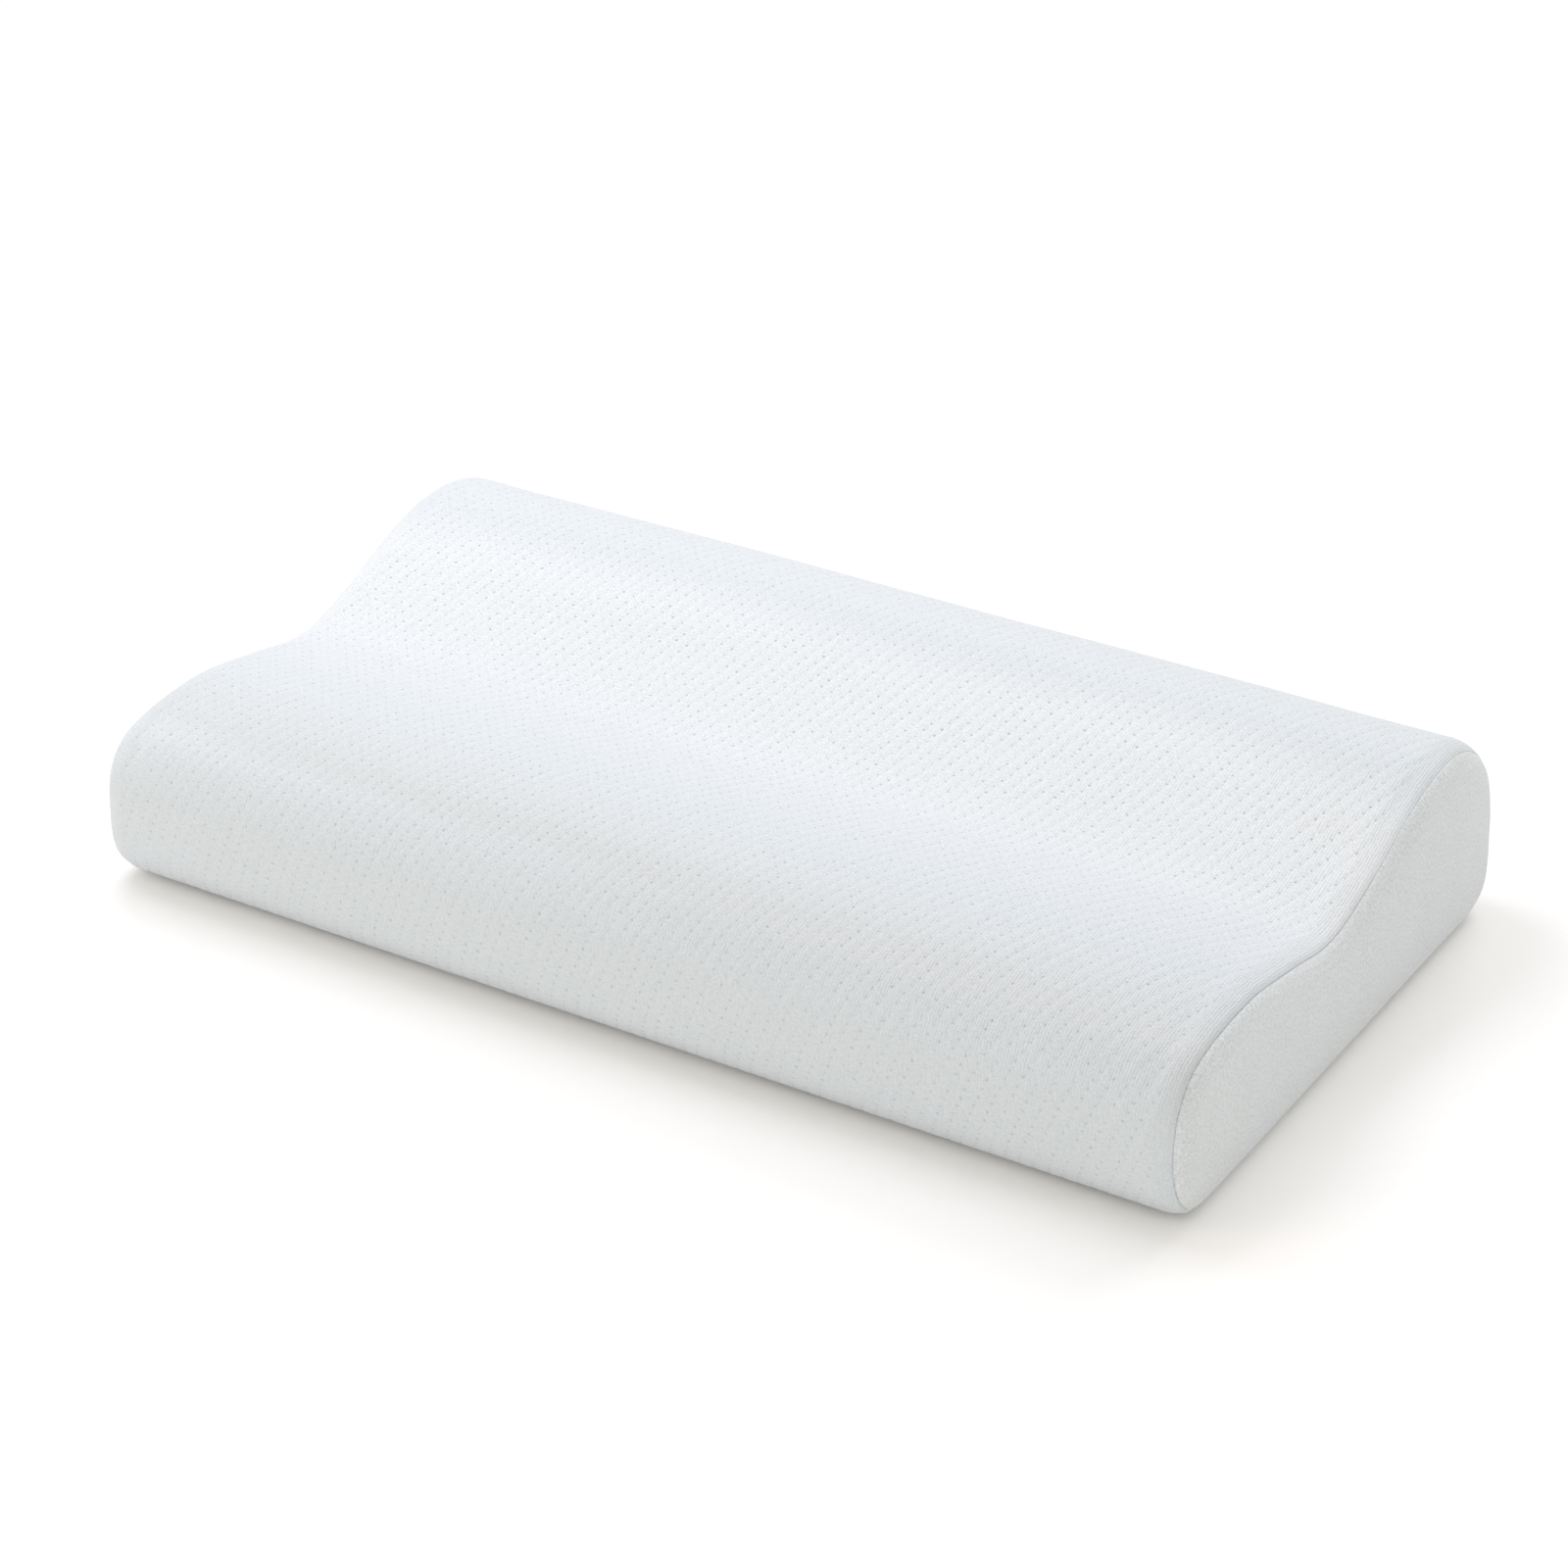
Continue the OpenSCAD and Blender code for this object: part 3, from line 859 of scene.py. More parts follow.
@dataclass
class Puff:
    """How far the cloth swells off the form: the closed cover, simulated under pressure."""

    form: PillowForm
    start_inset: float = 1.2
    cap: float = 3.4
    voxel: float = 6.0
    pin_reach: float = 5.0
    pressure: float = 4.0
    frames: int = 20
    tape_reach: tuple[float, float] = (12, 26)
    zip_ends: tuple[float, float] = (254, 278)
    tree: KDTree | None = field(init=False, default=None)
    swell: Array = field(init=False, default_factory=lambda: np.zeros((0, 3)))

    def closed_shell(self) -> Object:
        """Builds the closed form, a little smaller than the pillow, ready to be remeshed."""
        form = self.form
        along = np.linspace(0, form.section.length, 121)
        point, _ = form.section.at(along)
        reach = form.half_length + form.radius(point[:, 1]) * (math.pi / 2 - 1)
        shares = np.linspace(-1, 1, 81)
        u, s = shares[None, :] * reach[:, None], np.repeat(along[:, None], 81, 1)
        place, outward = form.place(u, s)
        made = grid_object("swelling_cover", place - self.start_inset * outward)
        bm = bmesh.new()
        bm.from_mesh(made.data)
        bmesh.ops.remove_doubles(bm, verts=bm.verts[:], dist=1e-5)
        bmesh.ops.holes_fill(bm, edges=[e for e in bm.edges if e.is_boundary], sides=0)
        bmesh.ops.recalc_face_normals(bm, faces=bm.faces[:])
        bm.to_mesh(made.data)
        bm.free()
        return made

    def run(self) -> None:
        """Remeshes the shell, swells it as cloth and keeps each point's move, up to the cap."""
        made = self.closed_shell()
        made.data.remesh_voxel_size = self.voxel * MM
        bpy.context.view_layer.objects.active = made
        bpy.ops.object.voxel_remesh()
        rest = points_of(made.data) / MM
        held = made.vertex_groups.new(name="sewn_or_resting")
        held.add([int(k) for k in np.where(self.is_held(rest))[0]], 1.0, "REPLACE")
        cloth = made.modifiers.new("cloth", "CLOTH")
        for name, value in {
            "quality": 5,
            "mass": 0.3,
            "tension_stiffness": 15,
            "compression_stiffness": 15,
            "bending_stiffness": 0.5,
            "vertex_group_mass": held.name,
            "use_pressure": True,
            "uniform_pressure_force": self.pressure,
        }.items():
            setattr(cloth.settings, name, value)
        cloth.settings.effector_weights.gravity = 0
        cloth.collision_settings.use_collision = False
        cloth.point_cache.frame_start = 1
        cloth.point_cache.frame_end = self.frames
        for number in range(1, self.frames + 1):
            bpy.context.scene.frame_set(number)
        swollen = made.evaluated_get(bpy.context.evaluated_depsgraph_get())
        moved = points_of(swollen.to_mesh()) / MM - rest
        swollen.to_mesh_clear()
        far = np.maximum(np.linalg.norm(moved, axis=1, keepdims=True), 1e-9)
        self.swell = moved / far * self.cap * np.tanh(far / self.cap)
        self.tree = KDTree(len(rest))
        for k, spot in enumerate(rest):
            self.tree.insert(spot, k)
        self.tree.balance()
        mesh = made.data
        bpy.data.objects.remove(made)
        bpy.data.meshes.remove(mesh)
        bpy.context.scene.frame_set(1)
        LOG.info("cloth swelled %d points, by up to %.1f mm", len(rest), float(far.max()))

    def is_held(self, rest: Array) -> Array:
        """Marks the points that the end seams, the zip or the pillow's weight hold still."""
        form = self.form
        along = np.arange(0, form.section.length, 3.0)
        seam, outward = form.place(form.half_width(along), along)
        seam = seam - self.start_inset * outward
        seams = KDTree(2 * len(seam))
        for k, spot in enumerate(seam):
            seams.insert(spot, 2 * k)
            seams.insert((-spot[0], spot[1], spot[2]), 2 * k + 1)
        seams.balance()
        near = np.array([seams.find(spot)[2] < self.pin_reach for spot in rest])
        resting = rest[:, 2] < self.start_inset + 1.0
        beside_zip = np.abs(rest[:, 2] - ZIP_HEIGHT) < 9
        return near | resting | (beside_zip & (rest[:, 1] > form.section.half_depth - 12))

    def at(self, places: Array, outward: Array) -> Array:
        """Reads the swelling along the outward direction, minus the shell's starting inset.

        Args:
            places: Rows by columns by 3.
            outward: The directions there.

        Returns:
            Rows by columns of lifts in millimetres.
        """
        if self.tree is None:
            return np.zeros(places.shape[:2])
        lift = np.empty(places.shape[:2])
        for spot in np.ndindex(lift.shape):
            found = self.tree.find_n(places[spot] - self.start_inset * outward[spot], 6)
            weight = np.array([1 / (1 + gap) for _, _, gap in found])
            mean = (self.swell[[k for _, k, _ in found]] * weight[:, None]).sum(0) / weight.sum()
            lift[spot] = max(float(mean @ outward[spot]), 0.0)
        resting = smoothstep(-outward[..., 2], 0.4, 0.95)
        return (lift - self.start_inset) * (1 - resting) * (1 - self.zipped(places))

    def zipped(self, places: Array) -> Array:
        """Weighs how firmly the zip's tapes hold the cloth flat: 1 along it, 0 away from it."""
        back = self.form.section.half_depth
        at_back = smoothstep(places[..., 1], back - 8, back - 2)
        beside = 1 - smoothstep(np.abs(places[..., 2] - ZIP_HEIGHT), *self.tape_reach)
        return at_back * beside * (1 - smoothstep(np.abs(places[..., 0]), *self.zip_ends))

    def over(
        self,
        surface: Callable[[Array, Array], tuple[Array, Array]],
        columns: Array,
        rows: Array,
        coarse: float = 9.0,
    ) -> Array:
        """Reads the swelling over a fine grid, by way of a coarse one that is then smoothed.

        Args:
            surface: Gives places and outward directions for shares across and along the panel.
            columns: The fine grid's shares across, from 0 to 1.
            rows: The fine grid's shares along, from 0 to 1.
            coarse: About how many fine steps go into one coarse step.

        Returns:
            The lifts on the fine grid.
        """
        if self.tree is None:
            return np.zeros((len(rows), len(columns)))
        few_columns = np.linspace(0, 1, max(8, int(len(columns) / coarse)))
        few_rows = np.linspace(0, 1, max(8, int(len(rows) / coarse)))
        across, along = np.meshgrid(few_columns, few_rows)
        few = self.at(*surface(across, along))
        wide = np.stack([np.interp(columns, few_columns, line) for line in few])
        full = np.stack([np.interp(rows, few_rows, line) for line in wide.T], axis=1)
        reach = max(1, int(coarse / 2))
        return blurred(blurred(full, reach, 0), reach, 1)


# ---------------------------------------------------------------- the cover


@dataclass
class Cover:
    """The knitted cover: dimpled wrap, plain underside and two ribbed end panels, sewn together."""

    form: PillowForm
    puff: Puff
    slot_half_width: float = 4.6
    slot_half_length: float = 250.0
    roll: float = 0.6
    hem: tuple[float, float] = (1.6, 0.8)
    lip: float = 0.3
    dimple_depth: float = 0.5
    dimple_reach: float = 1.5
    front_share: float = 0.65
    groove_depth: float = 0.4
    groove_reach: float = 0.8
    plain_strip: float = 8.0
    edge_step: float = 0.6
    panel_side: float = 62.0
    panel_corner: float = 9.0
    # Where the knit sags beside the end seams: place and spread over the section, place and
    # spread in from the seam, depth
    hollows: tuple[tuple[float, float, float, float, float], ...] = (
        (98, 30, 15, 6, 1.1),
        (325, 40, 9, 5, 1.0),
    )
    pieces: list[Object] = field(default_factory=list)

    def sagged(self, s: Array, to_end: Array) -> Array:
        """Gives how far the wrap sags in its hollows.

        Args:
            s: Distances over the section.
            to_end: Distances from the end seam.

        Returns:
            The depths in millimetres.
        """
        depth = np.zeros(s.shape)
        for along, spread, inward, reach, most in self.hollows:
            off = ((s - along) / spread) ** 2 + ((to_end - inward) / reach) ** 2
            depth += most * np.exp(-off)
        return depth

    def rolled(self, edge: Array) -> Array:
        """Gives the lift near a sewn edge: a quarter round down into it and a lip beside it."""
        inside = np.clip(edge, 0, self.roll)
        drop = self.roll - np.sqrt(np.maximum(self.roll**2 - (self.roll - inside) ** 2, 0))
        return self.lip * np.exp(-(((edge - 3.0) / 1.8) ** 2)) - drop

    def drawn(self, places: Array) -> Array:
        """Gives how deep the end seam is drawn in: it is almost flat over the rear lobe."""
        return 1 - 0.8 * smoothstep(places[..., 1], 10, 40) * smoothstep(places[..., 2], 72, 94)

    def hemmed(self, positions: Array) -> tuple[Array, Array]:
        """Adds the turned-in hem before the first and after the last position.

        Args:
            positions: Rising positions across the panel.

        Returns:
            The positions with the hem's, and how deep each lies.
        """
        first, last = positions[:1], positions[-1:]
        wide = np.concatenate([first, first, positions, last, last])
        deep = np.concatenate([self.hem, np.zeros(len(positions)), self.hem[::-1]])
        return wide, deep

    def raised(self, places: Array, outward: Array, lift: Array) -> Array:
        """Lifts points off the form along their outward directions, but never into the floor."""
        solid = places + lift[..., None] * outward
        solid[..., 2] = np.maximum(solid[..., 2], 0.0)
        return solid

    def slot_edge(self, u: Array) -> Array:
        """Gives how far a panel's edge stays from the zip's centre line."""
        past_end = smoothstep(np.abs(u), self.slot_half_length, self.slot_half_length + 6)
        return self.slot_half_width * (1 - past_end)

    def uneven(self, places: Array) -> Array:
        """Gives the slow unevenness of cloth drawn over foam by hand, in millimetres."""
        x, y, z = places[..., 0], places[..., 1], places[..., 2]
        long_wave = np.sin(x / 61 + 0.8 * np.sin(y / 47)) * np.cos(y / 39 + x / 120 + 0.6)
        short_wave = np.sin(x / 23 + y / 31 + 1.3) * np.sin(y / 17 - x / 45 + z / 29)
        beside_end = 1 - smoothstep(self.form.half_length - np.abs(x), 10, 70)
        pucker = np.sin(y / 9.5 + 1.5 * np.sin(z / 21) + x / 33) * np.cos(y / 23 - 0.9)
        return 0.35 * long_wave + 0.12 * short_wave + 0.4 * beside_end * pucker

    def wrap_like(self, name: str, low: float, high: float, step: float, dimpled: bool) -> Object:
        """Builds a panel that runs the whole length between two distances over the section.

        Args:
            name: The piece's name.
            low: Where it starts, along the section.
            high: Where it ends.
            step: The spacing of its points away from its edges.
            dimpled: Whether the knit's tuck stitches pull it in.

        Returns:
            The panel.
        """
        form, half_slot = self.form, self.slot_half_length
        width = 2 * float(form.half_width(np.array((low + high) / 2)))
        columns, column_depth = self.hemmed(spaced(width, 14, self.edge_step, step))
        rows, row_depth = self.hemmed(spaced(high - low, 9, self.edge_step, step))
        share_across, share_along = columns / columns[-1], rows / rows[-1]
        zip_at = form.section.distance_to(ZIP_HEIGHT)

        def on_cloth(across: Array, along: Array) -> tuple[Array, Array]:
            """Turns shares of the panel into places on the flat cloth."""
            u = (2 * across - 1) * form.half_width(low + (high - low) * along)
            back = self.slot_edge(u)
            start = low + (back if abs(low - zip_at) < 1 else 0)
            end = high - (back if abs(high - zip_at) < 1 else 0)
            return u, start + (end - start) * along

        def surface(across: Array, along: Array) -> tuple[Array, Array]:
            """Lays shares of the flat panel on the form."""
            return form.place(*on_cloth(across, along))

        across, along = np.meshgrid(share_across, share_along)
        u, s = on_cloth(across, along)
        places, outward = form.place(u, s)
        to_end = form.half_width(s) - np.abs(u)
        to_low, to_high = along * (high - low), (1 - along) * (high - low)
        lift = self.puff.over(surface, share_across, share_along)
        lift += self.rolled(to_end) * self.drawn(places)
        lift += self.rolled(to_low) + self.rolled(to_high)
        nearest = np.minimum(np.minimum(to_end, to_low), to_high)
        lift -= self.sagged(s, to_end)
        calm = 1 - self.puff.zipped(places)
        lift += self.uneven(places) * smoothstep(nearest, 4, 40) * calm
        weights = smoothstep(to_end, self.plain_strip, self.plain_strip + 5)
        weights *= smoothstep(np.minimum(to_low, to_high), 1.5, 4)
        weights *= self.front_share + (1 - self.front_share) * smoothstep(s, 60, 120)
        off_stitches = np.abs(np.abs(places[..., 2] - ZIP_HEIGHT) - STITCH_LINE)
        sewn = 1 - smoothstep(np.abs(u), half_slot - 6, half_slot)
        sewn *= places[..., 1] > form.section.half_depth - 3
        lift -= self.groove_depth * sewn * np.exp(-((off_stitches / self.groove_reach) ** 2))
        if dimpled:
            dimple = np.exp(-((TOP_KNIT.lattice(u, s) / self.dimple_reach) ** 2)) - 0.25
            lift -= calm * weights * self.dimple_depth * dimple
        lift -= np.maximum(column_depth[None, :], row_depth[:, None])
        made = grid_object(name, self.raised(places, outward, lift), np.stack([u, s], -1), weights)
        made.data.flip_normals()
        return made

    def end_panel(self, name: str, side: Side) -> Object:
        """Builds one end panel: it turns over the shoulder and crowns across the flat end.

        Args:
            name: The piece's name.
            side: Which end.

        Returns:
            The panel.
        """
        half, short = self.form.section.length / 2, self.panel_side
        corner = 2 * half - self.panel_corner
        starts = [corner, corner + short, corner + half, corner + half + short, corner + 2 * half]

        def seam(k: int, share: Array) -> Array:
            """Gives the seam's y and z at shares along one of the panel's four sides."""
            s = starts[k] + (starts[k + 1] - starts[k]) * share
            place, _ = self.form.place(self.form.half_width(s), s)
            return place[..., 1:]

        def square_on(across: Array, along: Array) -> Array:
            """Blends the four sides into the panel's y and z: across runs back, along runs up."""
            front, top = seam(0, along), seam(1, across)
            back, foot = seam(2, 1 - along), seam(3, 1 - across)
            a, b = across[..., None], along[..., None]
            corners = [seam(k, np.array(0.0)) for k in range(4)]
            mixed = (1 - a) * (1 - b) * corners[0] + (1 - a) * b * corners[1]
            mixed = mixed + a * b * corners[2] + a * (1 - b) * corners[3]
            return (1 - a) * front + a * back + b * top + (1 - b) * foot - mixed

        def surface(across: Array, along: Array) -> tuple[Array, Array]:
            """Lays shares of the panel on the form's end."""
            flat = square_on(across, along)
            place, outward, _ = self.form.end_place(flat[..., 0], flat[..., 1], side)
            return place, outward

        columns, column_depth = self.hemmed(spaced(half - short, 12, self.edge_step, 2.0))
        rows, row_depth = self.hemmed(spaced(short + 30, 12, self.edge_step, 1.8))
        share_across, share_along = columns / columns[-1], rows / rows[-1]
        across, along = np.meshgrid(share_across, share_along)
        flat = square_on(across, along)
        places, outward, depth = self.form.end_place(flat[..., 0], flat[..., 1], side)
        lift = self.puff.over(surface, share_across, share_along, coarse=6.0)
        lift += self.rolled(depth) * self.drawn(places)
        lift += 0.8 * self.uneven(places * (1, 1.3, 1)) * smoothstep(depth, 4, 30)
        lift -= np.maximum(column_depth[None, :], row_depth[:, None])
        made = grid_object(name, self.raised(places, outward, lift), flat)
        if side is Side.LEFT:
            made.data.flip_normals()
        return made

    def build(self) -> None:
        """Builds the four panels."""
        zip_at = self.form.section.distance_to(ZIP_HEIGHT)
        self.pieces = [
            self.wrap_like("cover_wrap", 0.0, zip_at, 1.4, True),
            self.wrap_like("cover_underside", zip_at, self.form.section.length, 2.6, False),
            self.end_panel("cover_end_panel_left", Side.LEFT),
            self.end_panel("cover_end_panel_right", Side.RIGHT),
        ]

    def dress(self) -> None:
        """Gives each panel its knit and hides the CAD solid it stands for."""
        knits = (TOP_KNIT, BASE_KNIT, END_KNIT, END_KNIT)
        nodes = ("cover_top", "cover_base", "cover_end_left", "cover_end_right")
        slots = ("cover_knit", "cover_base_fabric", "cover_end_fabric", "cover_end_fabric")
        for piece, knit, node, slot in zip(self.pieces, knits, nodes, slots):
            enlist(piece, knit, node)


# ---------------------------------------------------------------- the zip


@dataclass
class Zip:
    """A coil zip with its tapes, stops, stitching, slider and pull, set into the back of the cover.

    Each part is shaped about the zip's centre line in millimetres and then moved to its place.
    """

    back: float
    wire: float = 0.34
    pitch: float = 1.5
    turn_steps: int = 10
    coil_inner: float = 0.5
    tape_inner: float = 0.75
    tape_thickness: float = 0.55
    bead: tuple[float, float, float] = (3.6, 0.5, 0.22)
    clamp_height: float = 2.7
    clamp_round: float = 0.45
    clamp_pinch: tuple[float, float] = (0.5, 0.35)
    stitch_pitch: float = 4.0
    stitch_length: float = 2.9
    stitch_half_run: float = 244.0
    stitch_rise: float = 0.72
    thread_radius: float = 0.26
    edge_round: float = 0.12

    def placed(self, bm: BMesh, name: str, offset: Sequence[float] = (0, 0, 0)) -> Object:
        """Moves a part by an offset in millimetres, turns it to metres and makes its object."""
        bmesh.ops.translate(bm, verts=bm.verts[:], vec=offset)
        bmesh.ops.scale(bm, verts=bm.verts[:], vec=(MM, MM, MM))
        turned_out(bm)
        return mesh_from(bm, name)

    def side_of(self, node: str) -> int:
        """Says whether a CAD node lies above the zip's centre line, 1, or below it, -1."""
        low, high = box_mm(node)
        return 1 if (low[2] + high[2]) / 2 > ZIP_HEIGHT else -1

    def coil(self, node: str) -> Object:
        """Winds one coil: a monofilament ring spun along the zip into flattened turns.

        Args:
            node: The CAD coil it stands for, whose box it fills.

        Returns:
            The coil.
        """
        low, high = box_mm(node)
        sign = self.side_of(node)
        turns = int((high[0] - low[0]) / self.pitch) - 1
        outer = (high[2] if sign > 0 else -low[2]) - sign * ZIP_HEIGHT
        half_height = (high[1] - low[1]) / 2 - self.wire
        half_width = (outer - self.coil_inner) / 2 - self.wire
        bm = bmesh.new()
        ring = bmesh.ops.create_circle(bm, cap_ends=False, segments=5, radius=self.wire)["verts"]
        upright = Matrix.Rotation(math.pi / 2, 3, "X")
        bmesh.ops.rotate(bm, verts=ring, cent=(0, 0, 0), matrix=upright)
        bmesh.ops.translate(bm, verts=ring, vec=(0, 0, half_height))
        bmesh.ops.spin(
            bm,
            geom=bm.verts[:] + bm.edges[:],
            cent=(0, 0, 0),
            axis=(1, 0, 0),
            dvec=(self.pitch / self.turn_steps, 0, 0),
            angle=math.tau,
            steps=self.turn_steps,
        )
        repeated(bm, turns, self.pitch)
        bmesh.ops.remove_doubles(bm, verts=bm.verts[:], dist=0.01)
        bmesh.ops.holes_fill(bm, edges=[e for e in bm.edges if e.is_boundary], sides=0)
        for vert in bm.verts:
            radial = math.hypot(vert.co.y, vert.co.z)
            off_wire = (radial - half_height) / radial
            vert.co.z *= (1 - off_wire) * half_width / half_height + off_wire
        start = low[0] + self.wire + (0.0 if sign > 0 else self.pitch / 2)
        centre = ZIP_HEIGHT + sign * (self.coil_inner + self.wire + half_width)
        name = node.replace("zip_coil", "coil_turns")
        return self.placed(bm, name, (start, (low[1] + high[1]) / 2, centre))

    def tape(self, node: str) -> Object:
        """Weaves one tape: a flat band with a corded bead along the edge beside the coil.

        Args:
            node: The CAD tape it stands for, whose box it fills.

        Returns:
            The tape.
        """
        low, high = box_mm(node)
        sign = self.side_of(node)
        far = ((high if sign > 0 else low)[2] - ZIP_HEIGHT) * sign
        at, spread, rise = self.bead
        bm = bmesh.new()
        bmesh.ops.create_grid(bm, x_segments=60, y_segments=18, size=0.5)
        for vert in bm.verts:
            across = self.tape_inner + (vert.co.y + 0.5) * (far - self.tape_inner)
            bead = rise * math.exp(-(((across - at) / spread) ** 2))
            vert.co = (vert.co.x * (high[0] - low[0]), bead, sign * across)
        bmesh.ops.recalc_face_normals(bm, faces=bm.faces[:])
        bmesh.ops.solidify(bm, geom=bm.faces[:], thickness=self.tape_thickness)
        return self.placed(bm, node.replace("zip_tape", "tape_band"), (0, low[1], ZIP_HEIGHT))

    def stop(self, name: str, node: str, lows: Sequence[float]) -> Object:
        """Moulds the clamps at one end of the zip: rounded blocks, pinched at the middle.

        Args:
            name: The piece's name.
            node: The CAD solid it stands for.
            lows: The low z of each clamp, from the zip's centre line.

        Returns:
            The clamps as one piece.
        """
        low, high = box_mm(node)
        middle, size = (low + high) / 2, high - low
        if len(lows) > 1:
            size[2] = self.clamp_height
        bm = bmesh.new()
        for start in lows:
            block = bmesh.ops.create_cube(bm, size=1.0)["verts"]
            bmesh.ops.scale(bm, verts=block, vec=Vector(size))
            offset = (middle[0], middle[1], ZIP_HEIGHT + start + size[2] / 2)
            bmesh.ops.translate(bm, verts=block, vec=offset)
        rounded(bm, bm.edges[:], self.clamp_round, 3)
        long_edges = [e for e in bm.edges if e.calc_length() > 1.2]
        bmesh.ops.subdivide_edges(bm, edges=long_edges, cuts=4, use_grid_fill=True)
        spread, depth = self.clamp_pinch
        for vert in bm.verts:
            if vert.co.y > middle[1]:
                vert.co.y -= depth * math.exp(-(((vert.co.x - middle[0]) / spread) ** 2))
        return self.placed(bm, name)

    def stitching(self, node: str) -> Object:
        """Sews one row of lockstitches: short arched threads whose ends dip into the cloth.

        Args:
            node: The CAD row it stands for.

        Returns:
            The row.
        """
        bm = bmesh.new()
        first = bmesh.ops.create_uvsphere(bm, u_segments=6, v_segments=7, radius=1.0)["verts"]
        lengthwise = Matrix.Rotation(math.pi / 2, 3, "Y")
        bmesh.ops.rotate(bm, verts=first, cent=(0, 0, 0), matrix=lengthwise)
        for vert in first:
            along, y, z = vert.co
            thick = self.thread_radius / max(math.sqrt(max(1 - along * along, 0.0)), 0.45)
            vert.co = (along * self.stitch_length / 2, y * thick - 0.45 * along**4, z * thick)
        count = int(2 * self.stitch_half_run / self.stitch_pitch)
        repeated(bm, count, self.stitch_pitch)
        start = (1 - count) * self.stitch_pitch / 2
        height = ZIP_HEIGHT + self.side_of(node) * STITCH_LINE
        name = node.replace("zip_stitching", "lockstitches")
        return self.placed(bm, name, (start, self.back + self.stitch_rise, height))

    def cast(self, name: str, node: str) -> Object:
        """Takes a die-cast part's shape from its CAD node and rounds every sharp edge.

        Args:
            name: The piece's name.
            node: The CAD node it stands for.

        Returns:
            The part.
        """
        bm = bmesh.new()
        bm.from_mesh(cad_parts[node].data)
        bmesh.ops.remove_doubles(bm, verts=bm.verts[:], dist=2e-6)
        bmesh.ops.dissolve_limit(
            bm,
            angle_limit=math.radians(1.0),
            verts=bm.verts[:],
            edges=bm.edges[:],
            use_dissolve_boundaries=False,
        )
        limit = math.radians(35)
        sharp = [e for e in bm.edges if e.is_manifold and e.calc_face_angle(0.0) > limit]
        rounded(bm, sharp, self.edge_round * MM, 2, clamped=True)
        bmesh.ops.triangulate(bm, faces=[f for f in bm.faces if len(f.verts) > 4])
        turned_out(bm)
        made = mesh_from(bm, name)
        made.data.set_sharp_from_angle(angle=math.radians(50))
        return made

    def build(self) -> None:
        """Builds every part of the zip, dresses it and hides the CAD node each stands for."""
        for slot, shape, finish in (("zip_tape", self.tape, TAPE), ("zip_coil", self.coil, COIL)):
            for level in ("upper", "lower"):
                node = f"{slot}_{level}"
                enlist(shape(node), finish, node)
        top = self.stop("top_stop_clamps", "zip_top_stops", (-3.2, 0.5))
        enlist(top, STOPS, "zip_top_stops")
        bottom = self.stop("bottom_stop_clamp", "zip_bottom_stop", (-3.2,))
        enlist(bottom, STOPS, "zip_bottom_stop")
        for level in ("upper", "lower"):
            node = f"zip_stitching_{level}"
            enlist(self.stitching(node), THREAD, node)
        slider = self.cast("slider_casting", "zip_slider")
        enlist(slider, ENAMEL, "zip_slider", Body.SLIDER)
        pull = self.cast("pull_casting", "zip_pull")
        enlist(pull, ENAMEL, "zip_pull", Body.PULL)


# ---------------------------------------------------------------- the care label


@dataclass
class CareLabel:
    """A small blank satin ribbon, caught in the left end seam and lying on the end panel."""

    form: PillowForm
    low: float = 26.0
    high: float = 54.0
    depth: float = 28.6
    thickness: float = 0.35

    def build(self, rests_on: Object) -> None:
        """Lays the ribbon on the end panel, its free end a little lifted.

        Args:
            rests_on: The end panel.
        """
        form = self.form
        sewn_at = form.section.half_depth - form.shoulder * (1 - math.cos(form.seam_turn))
        shares = np.linspace(0, 1, 23)
        heights = np.linspace(self.high, self.low, 21)
        back, height = np.meshgrid(sewn_at - self.depth * shares, heights)
        places, _, _ = form.end_place(back, height, Side.LEFT)
        steps = np.linalg.norm(np.diff(places, axis=1, prepend=places[:, :1]), axis=-1)
        along = np.cumsum(steps, axis=1)
        waves = 0.15 * np.sin(9 * shares + np.arange(len(shares)) / 6)
        curl = 0.45 + 1.6 * shares**6 + waves
        tree = BVHTree.FromObject(rests_on, bpy.context.evaluated_depsgraph_get())
        for spot in np.ndindex(back.shape):
            found, normal, _, _ = tree.find_nearest(Vector(places[spot]) * MM)
            normal = normal if normal.x < 0 else -normal
            places[spot] = np.array(found) / MM + np.array(normal) * curl[spot[1]]
        made = grid_object("blank_care_label", places, np.stack([along, height], -1))
        bm = bmesh.new()
        bm.from_mesh(made.data)
        bmesh.ops.solidify(bm, geom=bm.faces[:], thickness=-self.thickness * MM)
        bmesh.ops.recalc_face_normals(bm, faces=bm.faces[:])
        for face in bm.faces:
            face.smooth = True
        bm.to_mesh(made.data)
        bm.free()
        enlist(made, LABEL, "care_label")


# ---------------------------------------------------------------- the studio


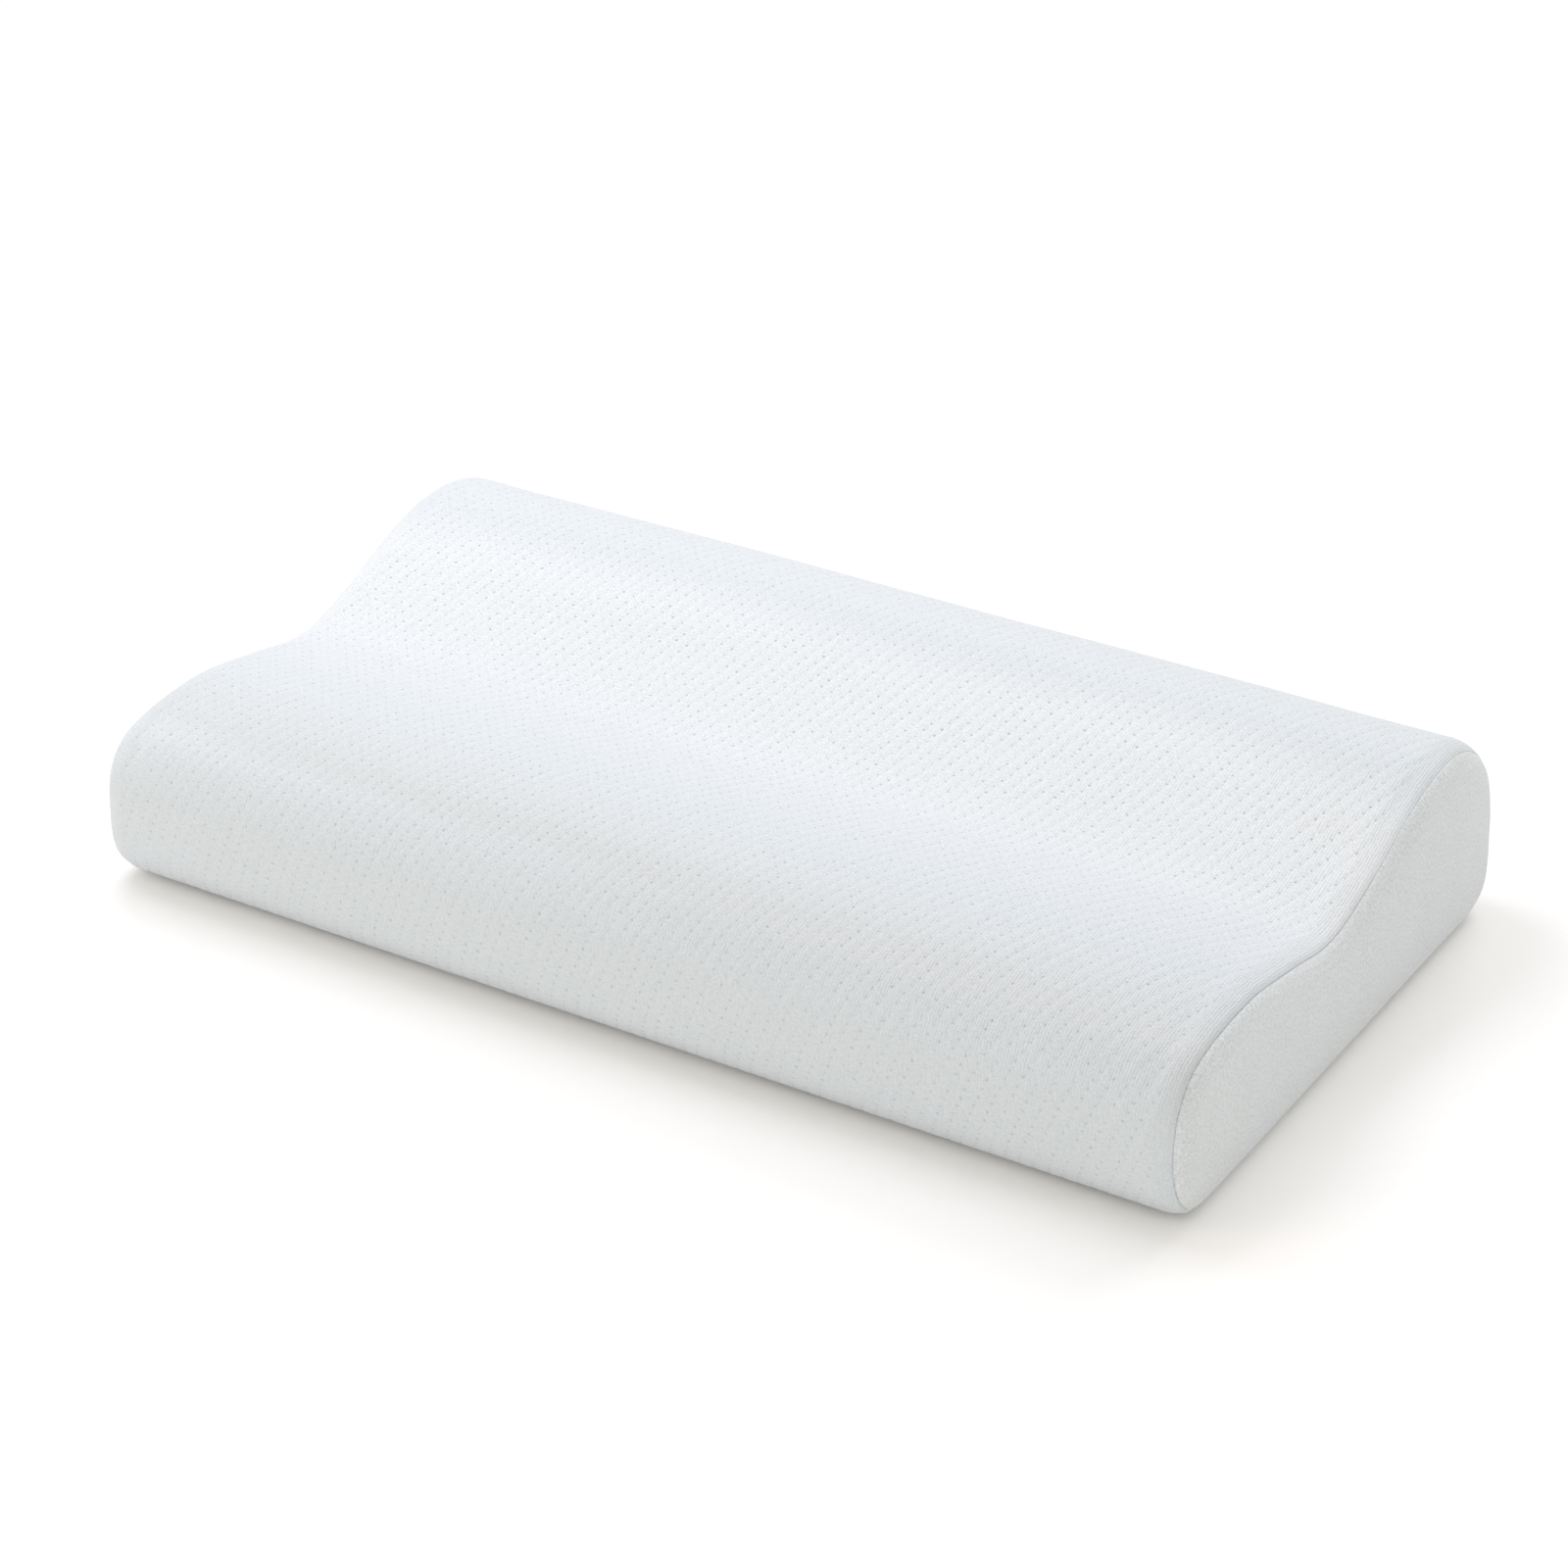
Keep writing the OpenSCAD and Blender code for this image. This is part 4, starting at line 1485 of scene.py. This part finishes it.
@dataclass
class Studio:
    """A white sweep of floor, soft lights above and the camera."""

    focal: float = 96.3
    target: tuple[float, float, float] = (-7.3, 1.1, 58.5)
    azimuth: float = math.radians(31.47)
    elevation: float = math.radians(28.99)
    distance: float = 2062.5

    def camera(self) -> None:
        """Makes the camera and points it at the pillow."""
        level = math.cos(self.elevation)
        across, ahead = -math.sin(self.azimuth) * level, math.cos(self.azimuth) * level
        look = Vector((across, ahead, -math.sin(self.elevation)))
        data = bpy.data.cameras.new("camera")
        data.lens = self.focal
        data.sensor_width = 36.0
        data.clip_start, data.clip_end = 0.05, 30.0
        made = bpy.data.objects.new("camera", data)
        made.location = (Vector(self.target) - look * self.distance) * MM
        made.rotation_euler = look.to_track_quat("-Z", "Y").to_euler()
        bpy.context.scene.collection.objects.link(made)
        bpy.context.scene.camera = made

    def floor(self) -> None:
        """Lays the floor."""
        bm = bmesh.new()
        bmesh.ops.create_grid(bm, x_segments=8, y_segments=8, size=6.0)
        made = mesh_from(bm, "floor")
        FLOOR.dress(made)

    def soft_light(
        self, name: str, place: Sequence[float], size: float, power: float, colour: Sequence[float]
    ) -> None:
        """Hangs one large square softbox that faces the middle of the floor.

        Args:
            name: The light's name.
            place: Where it hangs, in metres.
            size: Its side in metres.
            power: Its power in watts.
            colour: Its linear red, green and blue.
        """
        data = bpy.data.lights.new(name, "AREA")
        data.shape = "SQUARE"
        data.size = size
        data.energy = power
        data.color = colour
        made = bpy.data.objects.new(name, data)
        made.location = place
        made.rotation_euler = (-Vector(place)).to_track_quat("-Z", "Y").to_euler()
        bpy.context.scene.collection.objects.link(made)

    def build(self) -> None:
        """Makes the camera, the floor, the lights and the pale surroundings."""
        self.camera()
        self.floor()
        self.soft_light("near_softbox", (-0.62, 0.1, 1.3), 0.9, 6.9, (0.94, 0.97, 1.1))
        self.soft_light("rear_softbox", (0.2, 1.9, 1.8), 1.5, 20.5, (1.0, 0.97, 1.02))
        self.soft_light("front_left_softbox", (-1.5, -1.7, 1.8), 1.5, 11.3, (1.13, 1.0, 0.88))
        world = bpy.data.worlds.new("pale_room")
        world.use_nodes = True
        ground = world.node_tree.nodes["Background"]
        ground.inputs["Color"].default_value = (1.0, 0.995, 0.965, 1.0)
        ground.inputs["Strength"].default_value = 0.67
        bpy.context.scene.world = world
        bpy.context.scene.view_settings.view_transform = "Standard"


def main() -> None:
    """Builds the studio and the pillow, and dresses what the CAD brought."""
    logging.basicConfig(level=logging.INFO, format="%(message)s")
    Studio().build()
    _, (_, half_depth, rear_height) = box_mm("cover_top")
    _, (half_length, _, _) = box_mm("cover_end_right")
    section = LobedSection(half_depth, rear_height, front_height=90.0, valley_height=76.0)
    form = PillowForm(section, half_length)
    puff = Puff(form)
    puff.run()
    cover = Cover(form, puff)
    cover.build()
    cover.dress()
    Zip(back=form.section.half_depth).build()
    CareLabel(form).build(cover.pieces[2])
    FOAM.dress(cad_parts["foam_core"])
    for name in ("liner_sleeve", "liner_end_left", "liner_end_right"):
        LINER.dress(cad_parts[name])
    for name in ("seam_allowance_left", "seam_allowance_right"):
        ALLOWANCE.dress(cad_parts[name])


if __name__ == "__main__":
    main()
